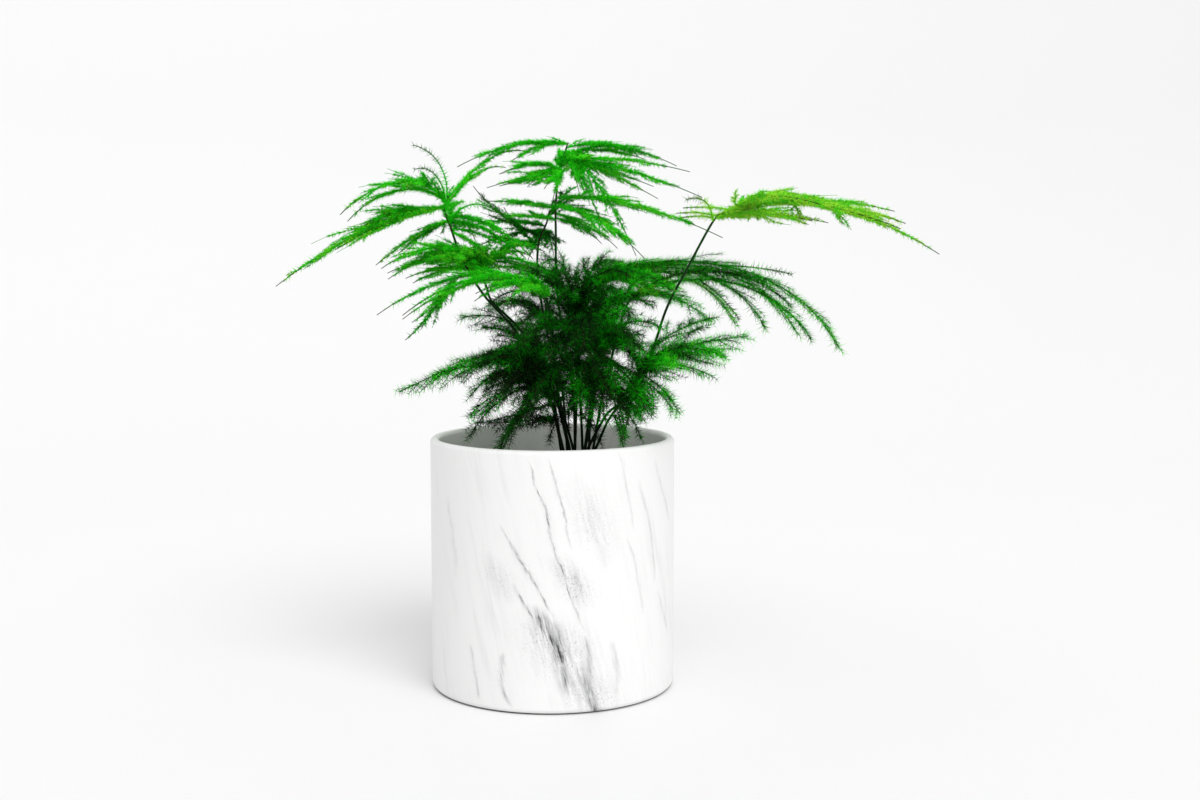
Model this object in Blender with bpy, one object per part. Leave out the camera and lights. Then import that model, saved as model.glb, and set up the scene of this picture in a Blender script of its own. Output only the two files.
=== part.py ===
"""A lace fern, Asparagus setaceus, in a straight white marbled pot.

Every size below is in millimetres and every angle in degrees, with +Z up, +X to the right seen from the
front and +Y away from the viewer. The origin is the middle of the pot's flat foot. The meshes are in metres.

The plant is a clump of sixteen fronds. Each has a dark wiry stem, which stands in its own hole in the soil,
and a green plume on top of it: arching sprays, side twigs and tufts of needles, fused in one body.
"""

import math
from collections import namedtuple

import bmesh
import bpy
import numpy as np

MM = 0.001
GAP = 0.3  # between neighbours that touch on the real thing

# The pot
POT_RADIUS = 70.0
POT_HEIGHT = 144.0
POT_WALL = 5.0
POT_FLOOR = 6.0
FOOT_ROUND = 3.5
INSIDE_ROUND = 3.0
ROUND_SIDES = 40
CORNER_STEPS = 2  # straight steps in a quarter round of the foot or the inside
LIP_STEPS = 4  # and in the half round of the lip

# The soil
SOIL_TOP = 116.0
SOIL_DOME = 2.0
SOIL_DOME_RADIUS = 34.0
SOIL_LUMP = 0.5  # how high the lumps stand round the edge of the dome
SOIL_LUMPS = 5
HOLE_DEPTH = 20.0
HOLE_RADIUS = 1.3
HOLE_SIDES = 6

# The crown that the stems rise from, right of the pot's middle
CROWN_X = 14.0
STEM_FOOT_RADIUS = 0.85
STEM_TOP_RADIUS = 0.65
TRUNK_TOP_RADIUS = 0.55
STEM_SIDES = 5
STEM_STRAIGHT = 3.0  # above the soil, before a stem begins to lean
RING_EVERY = 16.0  # along a bare stem
RING_MARGIN = 2.0  # and no ring nearer than this to either end of a tube
LINE_STEP = 1.0  # between the points of every middle line
CURVE_STEPS = 24  # between two points of a stem's route
NEARLY_UPRIGHT = 0.9  # height gained per length, above which a line counts as upright

# Sprays, twigs and needles
ARM_RADIUS = 0.60
ARM_TIP_RADIUS = 0.42
TWIG_RADIUS = 0.46
ROOT_RADIUS = 0.2  # of a twig where it starts, inside what carries it
TUFT_LENGTH = 1.5  # the stretch of twig that a tuft of six needles grows from
TUFT_PITCH = 14.5
TUFT_FIRST = 5.0
TUFT_FIRST_SHARE = 0.4  # or, on a short twig, this share of its length
TUFT_LAST = 1.6
TUFT_TURN = 47.0  # from each tuft to the next, round the twig
OPEN_LEAN = 64.0  # from the twig to the three more open needles of a tuft
OPEN_SIDE = 88.0  # and round it, from the edge of the side that a needle grows from
CLOSED_LEAN = 38.0  # the same for the three needles between them
CLOSED_SIDE = 32.0
NEEDLE_JITTER = 5.0
NEEDLE_SHARES = (0.85, 1.05)  # shortest and longest, as shares of the frond's own needle length
NEEDLE_TAPER = 0.3  # how much shorter needles are at a twig's tip, as a share
TWIG_EVERY = 40.0
TWIG_FIRST = 0.55  # of that spacing, from a spray's root to its first twig
TWIG_SHARES = (0.69, 1.25)  # a twig's length at a spray's root, and most, as shares of the spray's `spread`
TWIG_GROWTH = 1.875  # how fast twigs grow longer away from the root
TWIG_TAPER = 0.55  # and the power by which they shorten to the tip
TWIG_OPEN = 52.0  # from a spray to its side twig, where the twig begins
TWIG_CLOSE = 20.0  # and where it ends
TWIG_DROOP = 0.22
SHORTEST_TWIG = 14.0

# How far pieces of different fronds stay from each other, middle to middle
CLEAR_LINE = 1.9
CLEAR_NEEDLE_LINE = 1.35
CLEAR_NEEDLES = 1.0
CLEAR_WALL = 1.0
NEEDLE_CHECKS = np.linspace(0.15, 1.0, 6)  # places along a needle that are tested

# An arm is one spray. It leaves its parent at the fraction `at` of the parent's length, at the compass angle
# `heading` and the angle `rise` above level, and reaches `heading + turn` and `fall` at its tip. `late` says
# how late it bends, and `spread` is about the length of its longest side twigs.
# A frond stands at `ring_angle` and `ring_radius` from the crown. Its stem is bare up to the fraction `bare`
# of its line, which goes through the points of `route`, and `needle` is its needles' length.
Arm = namedtuple("Arm", "name parent at heading turn rise fall late length spread")
Frond = namedtuple("Frond", "ring_angle ring_radius bare needle tone route arms")

FRONDS = {
    "top": Frond(98, 8.2, 0.78, 4.2, "bright",
        ((12, 6, 165), (7, 6, 197), (3, 8, 223), (2, 9, 245), (2, 9, 260), (2, 10, 277), (4, 11, 294),
         (9, 12, 312)),
        (
            Arm("crest_left", "trunk", 0.995, -156, 11, 18, -27, 0.5, 72, 12),
            Arm("crest_right", "trunk", 0.985, 12, 4, 24, -24, 0.5, 68, 14),
            Arm("long_tail", "trunk", 0.95, -37, 4, 3, -22, 0.5, 97, 14),
            Arm("band_left", "trunk", 0.927, -124, -5, 16, -20, 0.7, 55, 16),
            Arm("band_back", "trunk", 0.917, 120, 40, 10, -15, 0.5, 60, 14),
            Arm("tier_right", "trunk", 0.85, -34, -10, 8, -21, 0.5, 119, 18),
            Arm("tier_left", "trunk", 0.822, -131, -12, 16, -3, 0.5, 53, 12),
            Arm("tier_low", "trunk", 0.81, 40, 5, -13, -35, 1.4, 53, 12),
            Arm("droop_right", "trunk", 0.975, -53, 10, -14, -60, 0.5, 86, 12),
            Arm("droop_back", "trunk", 0.965, 33, 0, -11, -24, 0.5, 70, 12),
            Arm("rear", "trunk", 0.941, 80, 0, 40, -28, 0.5, 104, 16),
            Arm("fore", "trunk", 0.907, -87, -8, 16, -26, 0.5, 95, 16),
        )),
    "top_left": Frond(90, 3.4, 0.87, 4.2, "green",
        ((4, 5, 165), (-2, 8, 197), (-7, 12, 223), (-9, 15, 240), (-8, 18, 256), (-4, 19, 265),
         (-2, 20, 273)),
        (
            Arm("reach_left", "trunk", 0.912, -153, 9, 25, 49, 1.9, 52, 10),
            Arm("up_right", "trunk", 0.99, 60, 10, 40, 10, 1.0, 42, 10),
            Arm("back_left", "trunk", 0.95, 144, 0, 11, -13, 1.3, 59, 12),
            Arm("low_left", "trunk", 0.895, -150, -4, 0, 13, 1.0, 40, 10),
            Arm("rear", "trunk", 0.938, 96, 8, 0, -25, 0.8, 77, 14),
        )),
    "left_high": Frond(196, 8.2, 0.885, 4.2, "bright",
        ((0, -6, 163), (-12, -14, 192), (-22, -17, 208), (-30, -19, 217), (-37, -21, 225), (-44, -23, 236),
         (-50, -25, 248), (-55, -27, 263), (-58, -28, 273), (-56, -28, 280)),
        (
            Arm("upper", "trunk", 0.982, -135, -16, 58, -45, 0.6, 73, 14),
            Arm("long", "trunk", 0.97, -168, 11, -1, -37, 0.5, 106, 22),
            Arm("third", "trunk", 0.932, 147, 5, -10, -34, 0.5, 57, 12),
            Arm("arm_up", "trunk", 0.992, 45, -7, 42, -13, 2.3, 67, 12),
            Arm("shoot", "trunk", 0.96, 74, 100, 58, 13, 3.0, 52, 0),
            Arm("arch", "trunk", 0.95, -78, -78, 58, -22, 3.0, 40, 0),
            Arm("right", "trunk", 0.921, -48, 16, 58, -51, 0.8, 55, 12),
            Arm("rear", "trunk", 0.91, 95, 0, 58, -30, 0.6, 81, 16),
        )),
    "left_low": Frond(162, 3.4, 0.91, 4.4, "bright",
        ((3, -2, 163), (-8, -5, 192), (-19, -8, 207), (-27, -10, 215), (-34, -11, 222), (-37, -12, 231),
         (-40, -13, 240), (-42, -13, 247)),
        (
            Arm("main", "trunk", 0.975, -139, -6, 58, -32, 0.5, 67, 18),
            Arm("second", "trunk", 0.957, 151, 17, 40, -24, 0.5, 61, 16),
            Arm("right", "trunk", 0.945, -41, 1, 58, -23, 0.8, 54, 12),
            Arm("rear", "trunk", 0.933, 102, -3, 55, -25, 0.5, 76, 14),
        )),
    "left_mid": Frond(234, 3.4, 0.95, 4.6, "green",
        ((4, -10, 164), (2, -18, 184), (1, -24, 204), (-1, -28, 219), (-4, -31, 229)),
        (
            Arm("main", "trunk", 0.992, -160, -8, 50, -36, 0.5, 99, 16),
            Arm("fore", "trunk", 0.977, -121, -11, 48, -27, 0.5, 62, 12),
            Arm("hanging", "main", 0.54, -138, -25, -58, -39, 1.2, 43, 10),
        )),
    "far_right": Frond(306, 3.4, 0.965, 4.4, "yellow",
        ((29, -9, 154), (39, -14, 164), (48, -19, 173), (55, -24, 189), (64, -31, 218), (75, -35, 240),
         (86, -38, 261), (91, -39, 269)),
        (
            Arm("main", "trunk", 0.995, -5, -5, 40, -34, 0.5, 127, 24),
            Arm("back_sweep", "trunk", 0.98, -101, -43, 58, -15, 1.0, 33, 0),
            Arm("fore_one", "main", 0.09, -71, 20, 19, -15, 0.8, 77, 18),
            Arm("back_one", "main", 0.11, 60, -18, 20, -8, 0.8, 86, 18),
            Arm("fore_two", "main", 0.31, -59, 15, -1, -17, 0.8, 69, 14),
            Arm("back_two", "main", 0.34, 46, -15, 8, -10, 0.7, 83, 14),
        )),
    "right_high": Frond(18, 3.4, 0.935, 5.2, "green",
        ((24, 5, 165), (26, 8, 194), (27, 12, 223), (29, 14, 240)),
        (
            Arm("main", "trunk", 0.993, -6, -20, 22, -58, 1.1, 155, 20),
            Arm("back", "trunk", 0.977, 64, -23, 42, -24, 0.5, 80, 14),
            Arm("fore", "trunk", 0.952, -58, 0, 49, -23, 0.5, 73, 14),
            Arm("side", "main", 0.45, 18, 23, -1, -11, 0.9, 50, 0),
        )),
    "right_mid": Frond(0, 8.2, 0.95, 5.2, "green",
        ((28, -1, 163), (34, -1, 189), (40, 0, 212), (46, 0, 226)),
        (
            Arm("main", "trunk", 0.993, -6, -16, 23, -57, 1.2, 115, 16),
            Arm("back", "trunk", 0.972, 57, -10, 32, -30, 0.5, 80, 14),
            Arm("hang", "main", 0.34, 52, -16, -20, -49, 1.2, 44, 0),
        )),
    "right_low": Frond(327, 8.2, 0.78, 5.2, "green",
        ((30, -12, 150), (39, -19, 165), (46, -26, 178), (52, -31, 191)),
        (
            Arm("main", "trunk", 0.982, -15, -6, 30, 6, 0.5, 61, 14),
            Arm("back", "trunk", 0.963, 67, -33, 37, 10, 0.5, 72, 14),
            Arm("fore", "trunk", 0.944, -49, 15, 41, -18, 0.8, 62, 14),
            Arm("droop", "trunk", 0.897, -47, -10, 8, -45, 0.5, 42, 10),
            Arm("droop_back", "trunk", 0.872, 85, -4, 0, -51, 0.5, 52, 12),
            Arm("droop_fore", "trunk", 0.81, -79, -45, -21, -61, 0.9, 39, 0),
        )),
    "bush_left": Frond(164, 8.2, 0.82, 5.2, "green",
        ((1, 5, 163), (-4, 5, 182), (-6, 4, 199)),
        (
            Arm("main", "trunk", 0.985, -129, -46, 8, -27, 0.5, 94, 16),
            Arm("upper", "trunk", 0.966, -171, -38, 58, -14, 0.8, 55, 14),
            Arm("fore", "trunk", 0.922, -120, -33, 27, -26, 0.5, 68, 14),
            Arm("back", "trunk", 0.862, 161, -25, 22, -43, 0.5, 59, 14),
        )),
    "bush_low": Frond(229, 8.2, 0.76, 5.2, "dark",
        ((3, -9, 152), (-2, -14, 167), (-6, -19, 178)),
        (
            Arm("over_rim", "trunk", 0.972, -144, -75, 13, -59, 0.5, 56, 12),
            Arm("low", "trunk", 0.807, 132, 30, -17, -14, 0.9, 52, 10),
            Arm("fore", "trunk", 0.949, -103, -11, 39, -28, 0.8, 65, 14),
            Arm("left", "trunk", 0.926, -119, -21, 58, -29, 1.1, 60, 14),
        )),
    "bush_front": Frond(262, 8.2, 0.79, 5.2, "dark",
        ((14, -13, 161), (15, -20, 183), (15, -29, 203)),
        (
            Arm("fore", "trunk", 0.987, -86, 0, 57, -34, 0.6, 69, 16),
            Arm("left", "trunk", 0.969, -127, 7, 58, -36, 0.6, 64, 14),
            Arm("right", "trunk", 0.951, -55, 0, 58, -40, 0.7, 65, 14),
            Arm("low_right", "trunk", 0.825, -71, 0, 26, -40, 0.7, 60, 12),
            Arm("low_left", "trunk", 0.86, -116, 0, 21, -44, 0.7, 58, 12),
        )),
    "bush_corner": Frond(295, 8.2, 0.83, 5.2, "green",
        ((22, -13, 161), (26, -19, 180), (29, -26, 198)),
        (
            Arm("fore", "trunk", 0.987, -54, 9, 58, -21, 0.8, 54, 14),
            Arm("up", "trunk", 0.968, -52, 40, 66, 23, 3.0, 53, 14),
            Arm("low", "trunk", 0.872, -60, 4, 40, -55, 0.5, 56, 12),
        )),
    "bush_high": Frond(65, 8.2, 0.91, 5.0, "dark",
        ((16, 5, 165), (14, 1, 194), (13, -2, 217)),
        (
            Arm("left", "trunk", 0.99, -135, -19, 58, -47, 1.3, 67, 16),
            Arm("right", "trunk", 0.975, -53, 17, 58, -42, 2.0, 56, 14),
            Arm("back_left", "trunk", 0.96, 101, 21, 58, -29, 2.1, 66, 14),
            Arm("back", "trunk", 0.945, 71, -12, 58, -33, 1.7, 78, 16),
        )),
    "back_right": Frond(33, 8.2, 0.86, 5.2, "green",
        ((22, 14, 164), (24, 24, 190), (26, 34, 210)),
        (
            Arm("right", "trunk", 0.988, 56, -8, 51, -29, 0.8, 61, 14),
            Arm("rear", "trunk", 0.972, 80, 0, 49, -23, 0.9, 83, 18),
            Arm("low_right", "trunk", 0.92, 57, 10, 2, -52, 1.0, 66, 12),
            Arm("low_rear", "trunk", 0.892, 93, 16, 14, -42, 1.3, 75, 14),
        )),
    "back_left": Frond(131, 8.2, 0.87, 5.2, "green",
        ((6, 14, 164), (0, 24, 190), (-3, 34, 209)),
        (
            Arm("left", "trunk", 0.988, 128, 5, 49, -30, 0.8, 64, 14),
            Arm("rear", "trunk", 0.972, 102, -5, 48, -27, 1.0, 88, 18),
            Arm("low_left", "trunk", 0.927, 130, 0, -9, -46, 1.2, 68, 12),
            Arm("low_rear", "trunk", 0.9, 85, -2, 3, -43, 1.8, 76, 14),
        )),
}

# Colour, roughness
GLAZE = ((0.82, 0.82, 0.81, 1.0), 0.22)
SOIL = ((0.045, 0.028, 0.018, 1.0), 0.95)
STEM = ((0.012, 0.030, 0.010, 1.0), 0.55)
TONES = {
    "bright": ((0.022, 0.270, 0.012, 1.0), 0.6),
    "green": ((0.018, 0.150, 0.012, 1.0), 0.6),
    "yellow": ((0.130, 0.360, 0.016, 1.0), 0.6),
    "dark": ((0.008, 0.070, 0.012, 1.0), 0.6),
}


def clear_scene():
    for item in list(bpy.data.objects):
        bpy.data.objects.remove(item, do_unlink=True)


def new_material(name, look):
    colour, roughness = look
    material = bpy.data.materials.new(name)
    material.use_nodes = True
    shader = material.node_tree.nodes["Principled BSDF"]
    shader.inputs["Base Color"].default_value = colour
    shader.inputs["Roughness"].default_value = roughness
    shader.inputs["Metallic"].default_value = 0.0
    return material


def new_object(name, vertices, faces, look=None, collection=None):
    """A mesh object from vertices in millimetres."""
    mesh = bpy.data.meshes.new(name)
    mesh.from_pydata([tuple(c * MM for c in v) for v in vertices], [], faces)
    mesh.update()
    item = bpy.data.objects.new(name, mesh)
    (collection or bpy.context.scene.collection).objects.link(item)
    if look:
        mesh.materials.append(new_material(name, look))
    return item


def corner(x, z, radius, start, end, steps):
    """Points of a round corner about (x, z), from the angle start to the angle end."""
    angles = [math.radians(start + (end - start) * k / steps) for k in range(steps + 1)]
    return [(x + radius * math.cos(a), z + radius * math.sin(a)) for a in angles]


def turned(name, profile, look, sides=ROUND_SIDES):
    """A solid of revolution. The profile runs from the axis at the bottom, out, up and back to the axis."""
    vertices = [(0.0, 0.0, profile[0][1])]
    rings = []
    for radius, z in profile[1:-1]:
        rings.append(len(vertices))
        for k in range(sides):
            angle = 2 * math.pi * k / sides
            vertices.append((radius * math.cos(angle), radius * math.sin(angle), z))
    top = len(vertices)
    vertices.append((0.0, 0.0, profile[-1][1]))
    faces = []
    for k in range(sides):
        after = (k + 1) % sides
        faces.append((0, rings[0] + after, rings[0] + k))
        faces.append((top, rings[-1] + k, rings[-1] + after))
        for low, high in zip(rings, rings[1:]):
            faces.append((low + k, low + after, high + after, high + k))
    return new_object(name, vertices, faces, look)


def make_pot():
    lip = POT_WALL / 2
    inner = POT_RADIUS - POT_WALL
    profile = [(0.0, 0.0)]
    profile += corner(POT_RADIUS - FOOT_ROUND, FOOT_ROUND, FOOT_ROUND, -90, 0, CORNER_STEPS)
    profile += corner(POT_RADIUS - lip, POT_HEIGHT - lip, lip, 0, 180, LIP_STEPS)
    profile += corner(inner - INSIDE_ROUND, POT_FLOOR + INSIDE_ROUND, INSIDE_ROUND, 0, -90, CORNER_STEPS)
    profile.append((0.0, POT_FLOOR))
    pot = turned("pot", profile, GLAZE)
    pot.data.shade_smooth()
    pot.data.set_sharp_from_angle(angle=math.radians(40))
    return pot


def hole_place(frond):
    angle = math.radians(frond.ring_angle)
    return CROWN_X + frond.ring_radius * math.cos(angle), frond.ring_radius * math.sin(angle)


def make_soil():
    """The soil fills the pot to SOIL_TOP, a little domed and lumpy, with a plain hole for each stem."""
    edge = POT_RADIUS - POT_WALL - GAP
    bottom = POT_FLOOR + GAP
    low_round = INSIDE_ROUND + GAP
    profile = [(0.0, bottom), (edge - low_round, bottom), (edge, bottom + low_round), (edge, SOIL_TOP)]
    profile += [(SOIL_DOME_RADIUS, SOIL_TOP + SOIL_DOME), (0.0, SOIL_TOP + SOIL_DOME)]
    soil = turned("soil", profile, SOIL)
    for vertex in soil.data.vertices:
        x, y, z = vertex.co / MM
        if z > SOIL_TOP and math.hypot(x, y) > 1:
            vertex.co.z += MM * SOIL_LUMP * math.sin(SOIL_LUMPS * math.atan2(y, x))
    holes = bpy.data.collections.new("stem_holes")
    bpy.context.scene.collection.children.link(holes)
    for name, frond in FRONDS.items():
        x, y = hole_place(frond)
        low, high = SOIL_TOP - HOLE_DEPTH - GAP, SOIL_TOP + 2 * SOIL_DOME
        ring = [(x + HOLE_RADIUS * math.cos(a), y + HOLE_RADIUS * math.sin(a))
                for a in (2 * math.pi * k / HOLE_SIDES for k in range(HOLE_SIDES))]
        vertices = [(px, py, low) for px, py in ring] + [(px, py, high) for px, py in ring]
        n = HOLE_SIDES
        faces = [tuple(reversed(range(n))), tuple(range(n, 2 * n))]
        faces += [(k, (k + 1) % n, n + (k + 1) % n, n + k) for k in range(n)]
        new_object("hole_" + name, vertices, faces, collection=holes)
    apply_boolean(soil, holes, "DIFFERENCE")
    return soil


def apply_boolean(target, collection, operation):
    """Joins or cuts a collection in one Boolean, applies it and removes the collection's objects."""
    modifier = target.modifiers.new("join", "BOOLEAN")
    modifier.operation = operation
    modifier.operand_type = "COLLECTION"
    modifier.collection = collection
    graph = bpy.context.evaluated_depsgraph_get()
    result = bpy.data.meshes.new_from_object(target.evaluated_get(graph))
    target.modifiers.remove(modifier)
    old = target.data
    result.name = old.name
    target.data = result
    bpy.data.meshes.remove(old)
    for item in list(collection.objects):
        bpy.data.objects.remove(item, do_unlink=True)
    bpy.data.collections.remove(collection)
    keep_main_body(target.data)


def keep_main_body(mesh):
    """Keeps the largest connected shell: loose scraps are dropped and sealed hollows are filled."""
    work = bmesh.new()
    work.from_mesh(mesh)
    left = set(work.verts)
    shells = []
    while left:
        shell = set()
        queue = [left.pop()]
        while queue:
            vertex = queue.pop()
            shell.add(vertex)
            for edge in vertex.link_edges:
                other = edge.other_vert(vertex)
                if other in left:
                    left.remove(other)
                    queue.append(other)
        shells.append(shell)
    main = max(shells, key=len)
    bmesh.ops.delete(work, geom=[v for v in work.verts if v not in main], context="VERTS")
    bmesh.ops.triangulate(work, faces=work.faces)
    work.to_mesh(mesh)
    work.free()


def even_line(points, spacing):
    """The same line with evenly spaced points."""
    points = np.asarray(points, float)
    length = lengths_along(points)[-1]
    return points_at(points, np.linspace(0.0, length, max(2, int(round(length / spacing)) + 1)))


def trunk_line(frond):
    """A stem's middle line: straight up out of its hole, then a smooth curve through its route."""
    x, y = hole_place(frond)
    start = np.array([x, y, SOIL_TOP + STEM_STRAIGHT])
    route = np.array([start] + [np.array(p, float) for p in frond.route])
    rise = np.linalg.norm(route[1] - route[0])
    before = route[1] - np.array([0.0, 0.0, 2 * rise])
    after = 2 * route[-1] - route[-2]
    p = np.vstack([before, route, after])
    t = np.linspace(0.0, 1.0, CURVE_STEPS, endpoint=False)[:, None]
    pieces = [np.array([[x, y, SOIL_TOP - HOLE_DEPTH]])]
    for a, b, c, d in zip(p, p[1:], p[2:], p[3:]):
        pieces.append(0.5 * (2 * b + (c - a) * t + (2 * a - 5 * b + 4 * c - d) * t ** 2
                             + (3 * b - a - 3 * c + d) * t ** 3))
    pieces.append(route[-1:])
    return even_line(np.vstack(pieces), LINE_STEP)


def arm_line(arm, root):
    """A spray's middle line and its heading at each point, from the directions that its angles give."""
    steps = int(round(arm.length / LINE_STEP))
    s = (np.arange(steps) + 0.5) / steps
    heading = np.radians(arm.heading + arm.turn * s)
    rise = np.radians(arm.rise + (arm.fall - arm.rise) * s ** arm.late)
    step = np.stack([np.cos(rise) * np.cos(heading), np.cos(rise) * np.sin(heading), np.sin(rise)], axis=-1)
    line = root + np.vstack([np.zeros(3), np.cumsum(step * LINE_STEP, axis=0)])
    return line, np.append(heading, heading[-1])


def twig_length(arm, u):
    """Side twigs are longest a third of the way out, u being the fraction along the spray."""
    return arm.spread * min(TWIG_SHARES[1], TWIG_SHARES[0] + TWIG_GROWTH * u) * (1.0 - u) ** TWIG_TAPER


def twig_line(arm, line, heading, bones, u, side):
    """A side twig's middle line: it leaves the spray at TWIG_OPEN, closes towards it and droops.

    It starts on bones, the straight runs between the spray's rings, which lie a little off its smooth line.
    """
    index = min(max(int(round(u * (len(line) - 1))), 1), len(line) - 2)
    along = line[index + 1] - line[index - 1]
    along /= np.linalg.norm(along)
    across = np.array([-math.sin(heading[index]), math.cos(heading[index]), 0.0]) * side
    length = twig_length(arm, u)
    steps = int(round(length / LINE_STEP))
    v = ((np.arange(steps) + 0.5) / steps)[:, None]
    angle = np.radians(TWIG_OPEN + (TWIG_CLOSE - TWIG_OPEN) * v)
    step = np.cos(angle) * along + np.sin(angle) * across - np.array([0.0, 0.0, 1.0]) * TWIG_DROOP * v
    step *= length / steps
    root = points_at(bones, u * lengths_along(bones)[-1])
    return root + np.vstack([np.zeros(3), np.cumsum(step, axis=0)])


def lengths_along(line):
    return np.concatenate([[0.0], np.cumsum(np.linalg.norm(np.diff(line, axis=0), axis=1))])


def points_at(line, distances):
    """Points of a line at distances along it."""
    along = lengths_along(line)
    return np.stack([np.interp(distances, along, line[:, k]) for k in range(3)], axis=-1)


def tube_stations(length):
    """Distances along a bare stem at which its tube has a ring: its foot, where it leans, and on up."""
    lean = HOLE_DEPTH + STEM_STRAIGHT
    return np.append(0.0, np.linspace(lean, length, int(round((length - lean) / RING_EVERY)) + 1))


def tuft_stations(length):
    """Distances along a twig at which it has a ring: its root, both ends of each tuft, and its tip."""
    first = min(TUFT_FIRST, length * TUFT_FIRST_SHARE)
    tufts = max(2, int(round((length - first - TUFT_LAST) / TUFT_PITCH)) + 1)
    places = np.linspace(first, length - TUFT_LAST - TUFT_LENGTH, tufts)
    ends = np.ravel([places - TUFT_LENGTH / 2, places + TUFT_LENGTH / 2], "F")
    return np.concatenate([[0.0], ends, [length]])


class Space:
    """The room already taken: points in cells of a few millimetres, each with the frond that owns it."""

    CELL = 2.5

    def __init__(self):
        self.cells = {}

    def key(self, point):
        return tuple(int(math.floor(c / self.CELL)) for c in point)

    def take(self, points, owner):
        for point in points:
            self.cells.setdefault(self.key(point), []).append((point, owner))

    def is_clear(self, points, owner, gap):
        for point in points:
            kx, ky, kz = self.key(point)
            for x in (kx - 1, kx, kx + 1):
                for y in (ky - 1, ky, ky + 1):
                    for z in (kz - 1, kz, kz + 1):
                        for other, who in self.cells.get((x, y, z), ()):
                            if who != owner and np.linalg.norm(other - point) < gap:
                                return False
        return True


def clear_of_pot(points):
    """Whether points stay out of the pot's wall and off the soil."""
    radius = np.hypot(points[:, 0], points[:, 1])
    z = points[:, 2]
    beside_wall = (radius > POT_RADIUS - POT_WALL - CLEAR_WALL) & (radius < POT_RADIUS + CLEAR_WALL)
    in_wall = beside_wall & (z < POT_HEIGHT + CLEAR_WALL)
    in_soil = z < SOIL_TOP + SOIL_DOME + CLEAR_WALL
    return not (in_wall | in_soil).any()


def frames(line, stations):
    """A line's middle, direction and two cross directions at each station, carried along without twist."""
    stations = np.asarray(stations)
    middles = points_at(line, stations)
    tangents = points_at(line, stations + 0.6 * LINE_STEP) - points_at(line, stations - 0.6 * LINE_STEP)
    result = []
    normal = None
    for middle, tangent in zip(middles, tangents):
        tangent = tangent / np.linalg.norm(tangent)
        if normal is None:
            is_level = abs(tangent[2]) < NEARLY_UPRIGHT
            normal = np.array([0.0, 0.0, 1.0]) if is_level else np.array([1.0, 0.0, 0.0])
        normal = normal - tangent * np.dot(normal, tangent)
        normal /= np.linalg.norm(normal)
        result.append((middle, tangent, normal, np.cross(tangent, normal)))
    return result


def tube(name, line, start, end, radii, look, sides=STEM_SIDES):
    """A plain closed tube along a line, from one distance along it to another, thinner towards its end."""
    inner = [s for s in tube_stations(lengths_along(line)[-1]) if start + RING_MARGIN < s < end - RING_MARGIN]
    stations = [start] + inner + [end]
    rings = len(stations)
    vertices = []
    for k, (middle, tangent, normal, cross) in enumerate(frames(line, stations)):
        radius = radii[0] + (radii[1] - radii[0]) * k / (rings - 1)
        for i in range(sides):
            angle = 2 * math.pi * i / sides
            vertices.append(middle + radius * (math.cos(angle) * normal + math.sin(angle) * cross))
    top = (rings - 1) * sides
    faces = [(0, i + 1, i) for i in range(1, sides - 1)]
    faces += [(top, top + i, top + i + 1) for i in range(1, sides - 1)]
    for k in range(rings - 1):
        for i in range(sides):
            a, b = k * sides + i, k * sides + (i + 1) % sides
            faces += [(a, b, b + sides), (a, b + sides, a + sides)]
    return new_object(name, vertices, faces, look)


def needle_twig(name, line, radii, needle, fits, random, collection):
    """A three-sided twig with a tuft of six needles every TUFT_PITCH.

    A tuft grows from a short stretch of the twig, whose three sides are split in two triangles each. Each
    triangle is raised to a point one needle's length away, so needles are part of the twig's own surface.
    """
    length = lengths_along(line)[-1]
    stations = tuft_stations(length)
    cuts = frames(line, stations)
    vertices = []
    first_turn = random.uniform(0.0, 120.0)
    turns = []
    for k, (middle, tangent, normal, cross) in enumerate(cuts[:-1]):
        turns.append(first_turn + TUFT_TURN * max(0, (k - 1) // 2))
        radius = radii[0] + (radii[1] - radii[0]) * stations[k] / length
        if k == 0:
            radius = ROOT_RADIUS
        for i in range(3):
            angle = math.radians(turns[k] + 120.0 * i)
            vertices.append(middle + radius * (math.cos(angle) * normal + math.sin(angle) * cross))
    tip = len(vertices)
    vertices.append(cuts[-1][0])
    faces = [(2, 1, 0)]
    for k in range(len(cuts) - 2):
        is_tuft = k % 2 == 1
        middle, tangent, normal, cross = cuts[k]
        share = stations[k] / length
        for i in range(3):
            a, b = 3 * k + i, 3 * k + (i + 1) % 3
            c, d = b + 3, a + 3
            if not is_tuft:
                faces += [(a, b, c), (a, c, d)]
                continue
            pair = (((a, b, c), OPEN_SIDE, OPEN_LEAN), ((a, c, d), CLOSED_SIDE, CLOSED_LEAN))
            for triangle, azimuth, lean in pair:
                azimuth = math.radians(turns[k] + 120.0 * i + azimuth + random.uniform(-1, 1) * NEEDLE_JITTER)
                lean = math.radians(lean + random.uniform(-1, 1) * NEEDLE_JITTER)
                reach = needle * random.uniform(*NEEDLE_SHARES) * (1.0 - NEEDLE_TAPER * share)
                root = sum(vertices[j] for j in triangle) / 3.0
                away = math.cos(azimuth) * normal + math.sin(azimuth) * cross
                point = root + reach * (math.cos(lean) * tangent + math.sin(lean) * away)
                if fits(root, point):
                    p = len(vertices)
                    vertices.append(point)
                    faces += [(triangle[j], triangle[(j + 1) % 3], p) for j in range(3)]
                else:
                    faces.append(triangle)
    last = 3 * (len(cuts) - 2)
    faces += [(last + i, last + (i + 1) % 3, tip) for i in range(3)]
    return new_object(name, vertices, faces, collection=collection)


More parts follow.
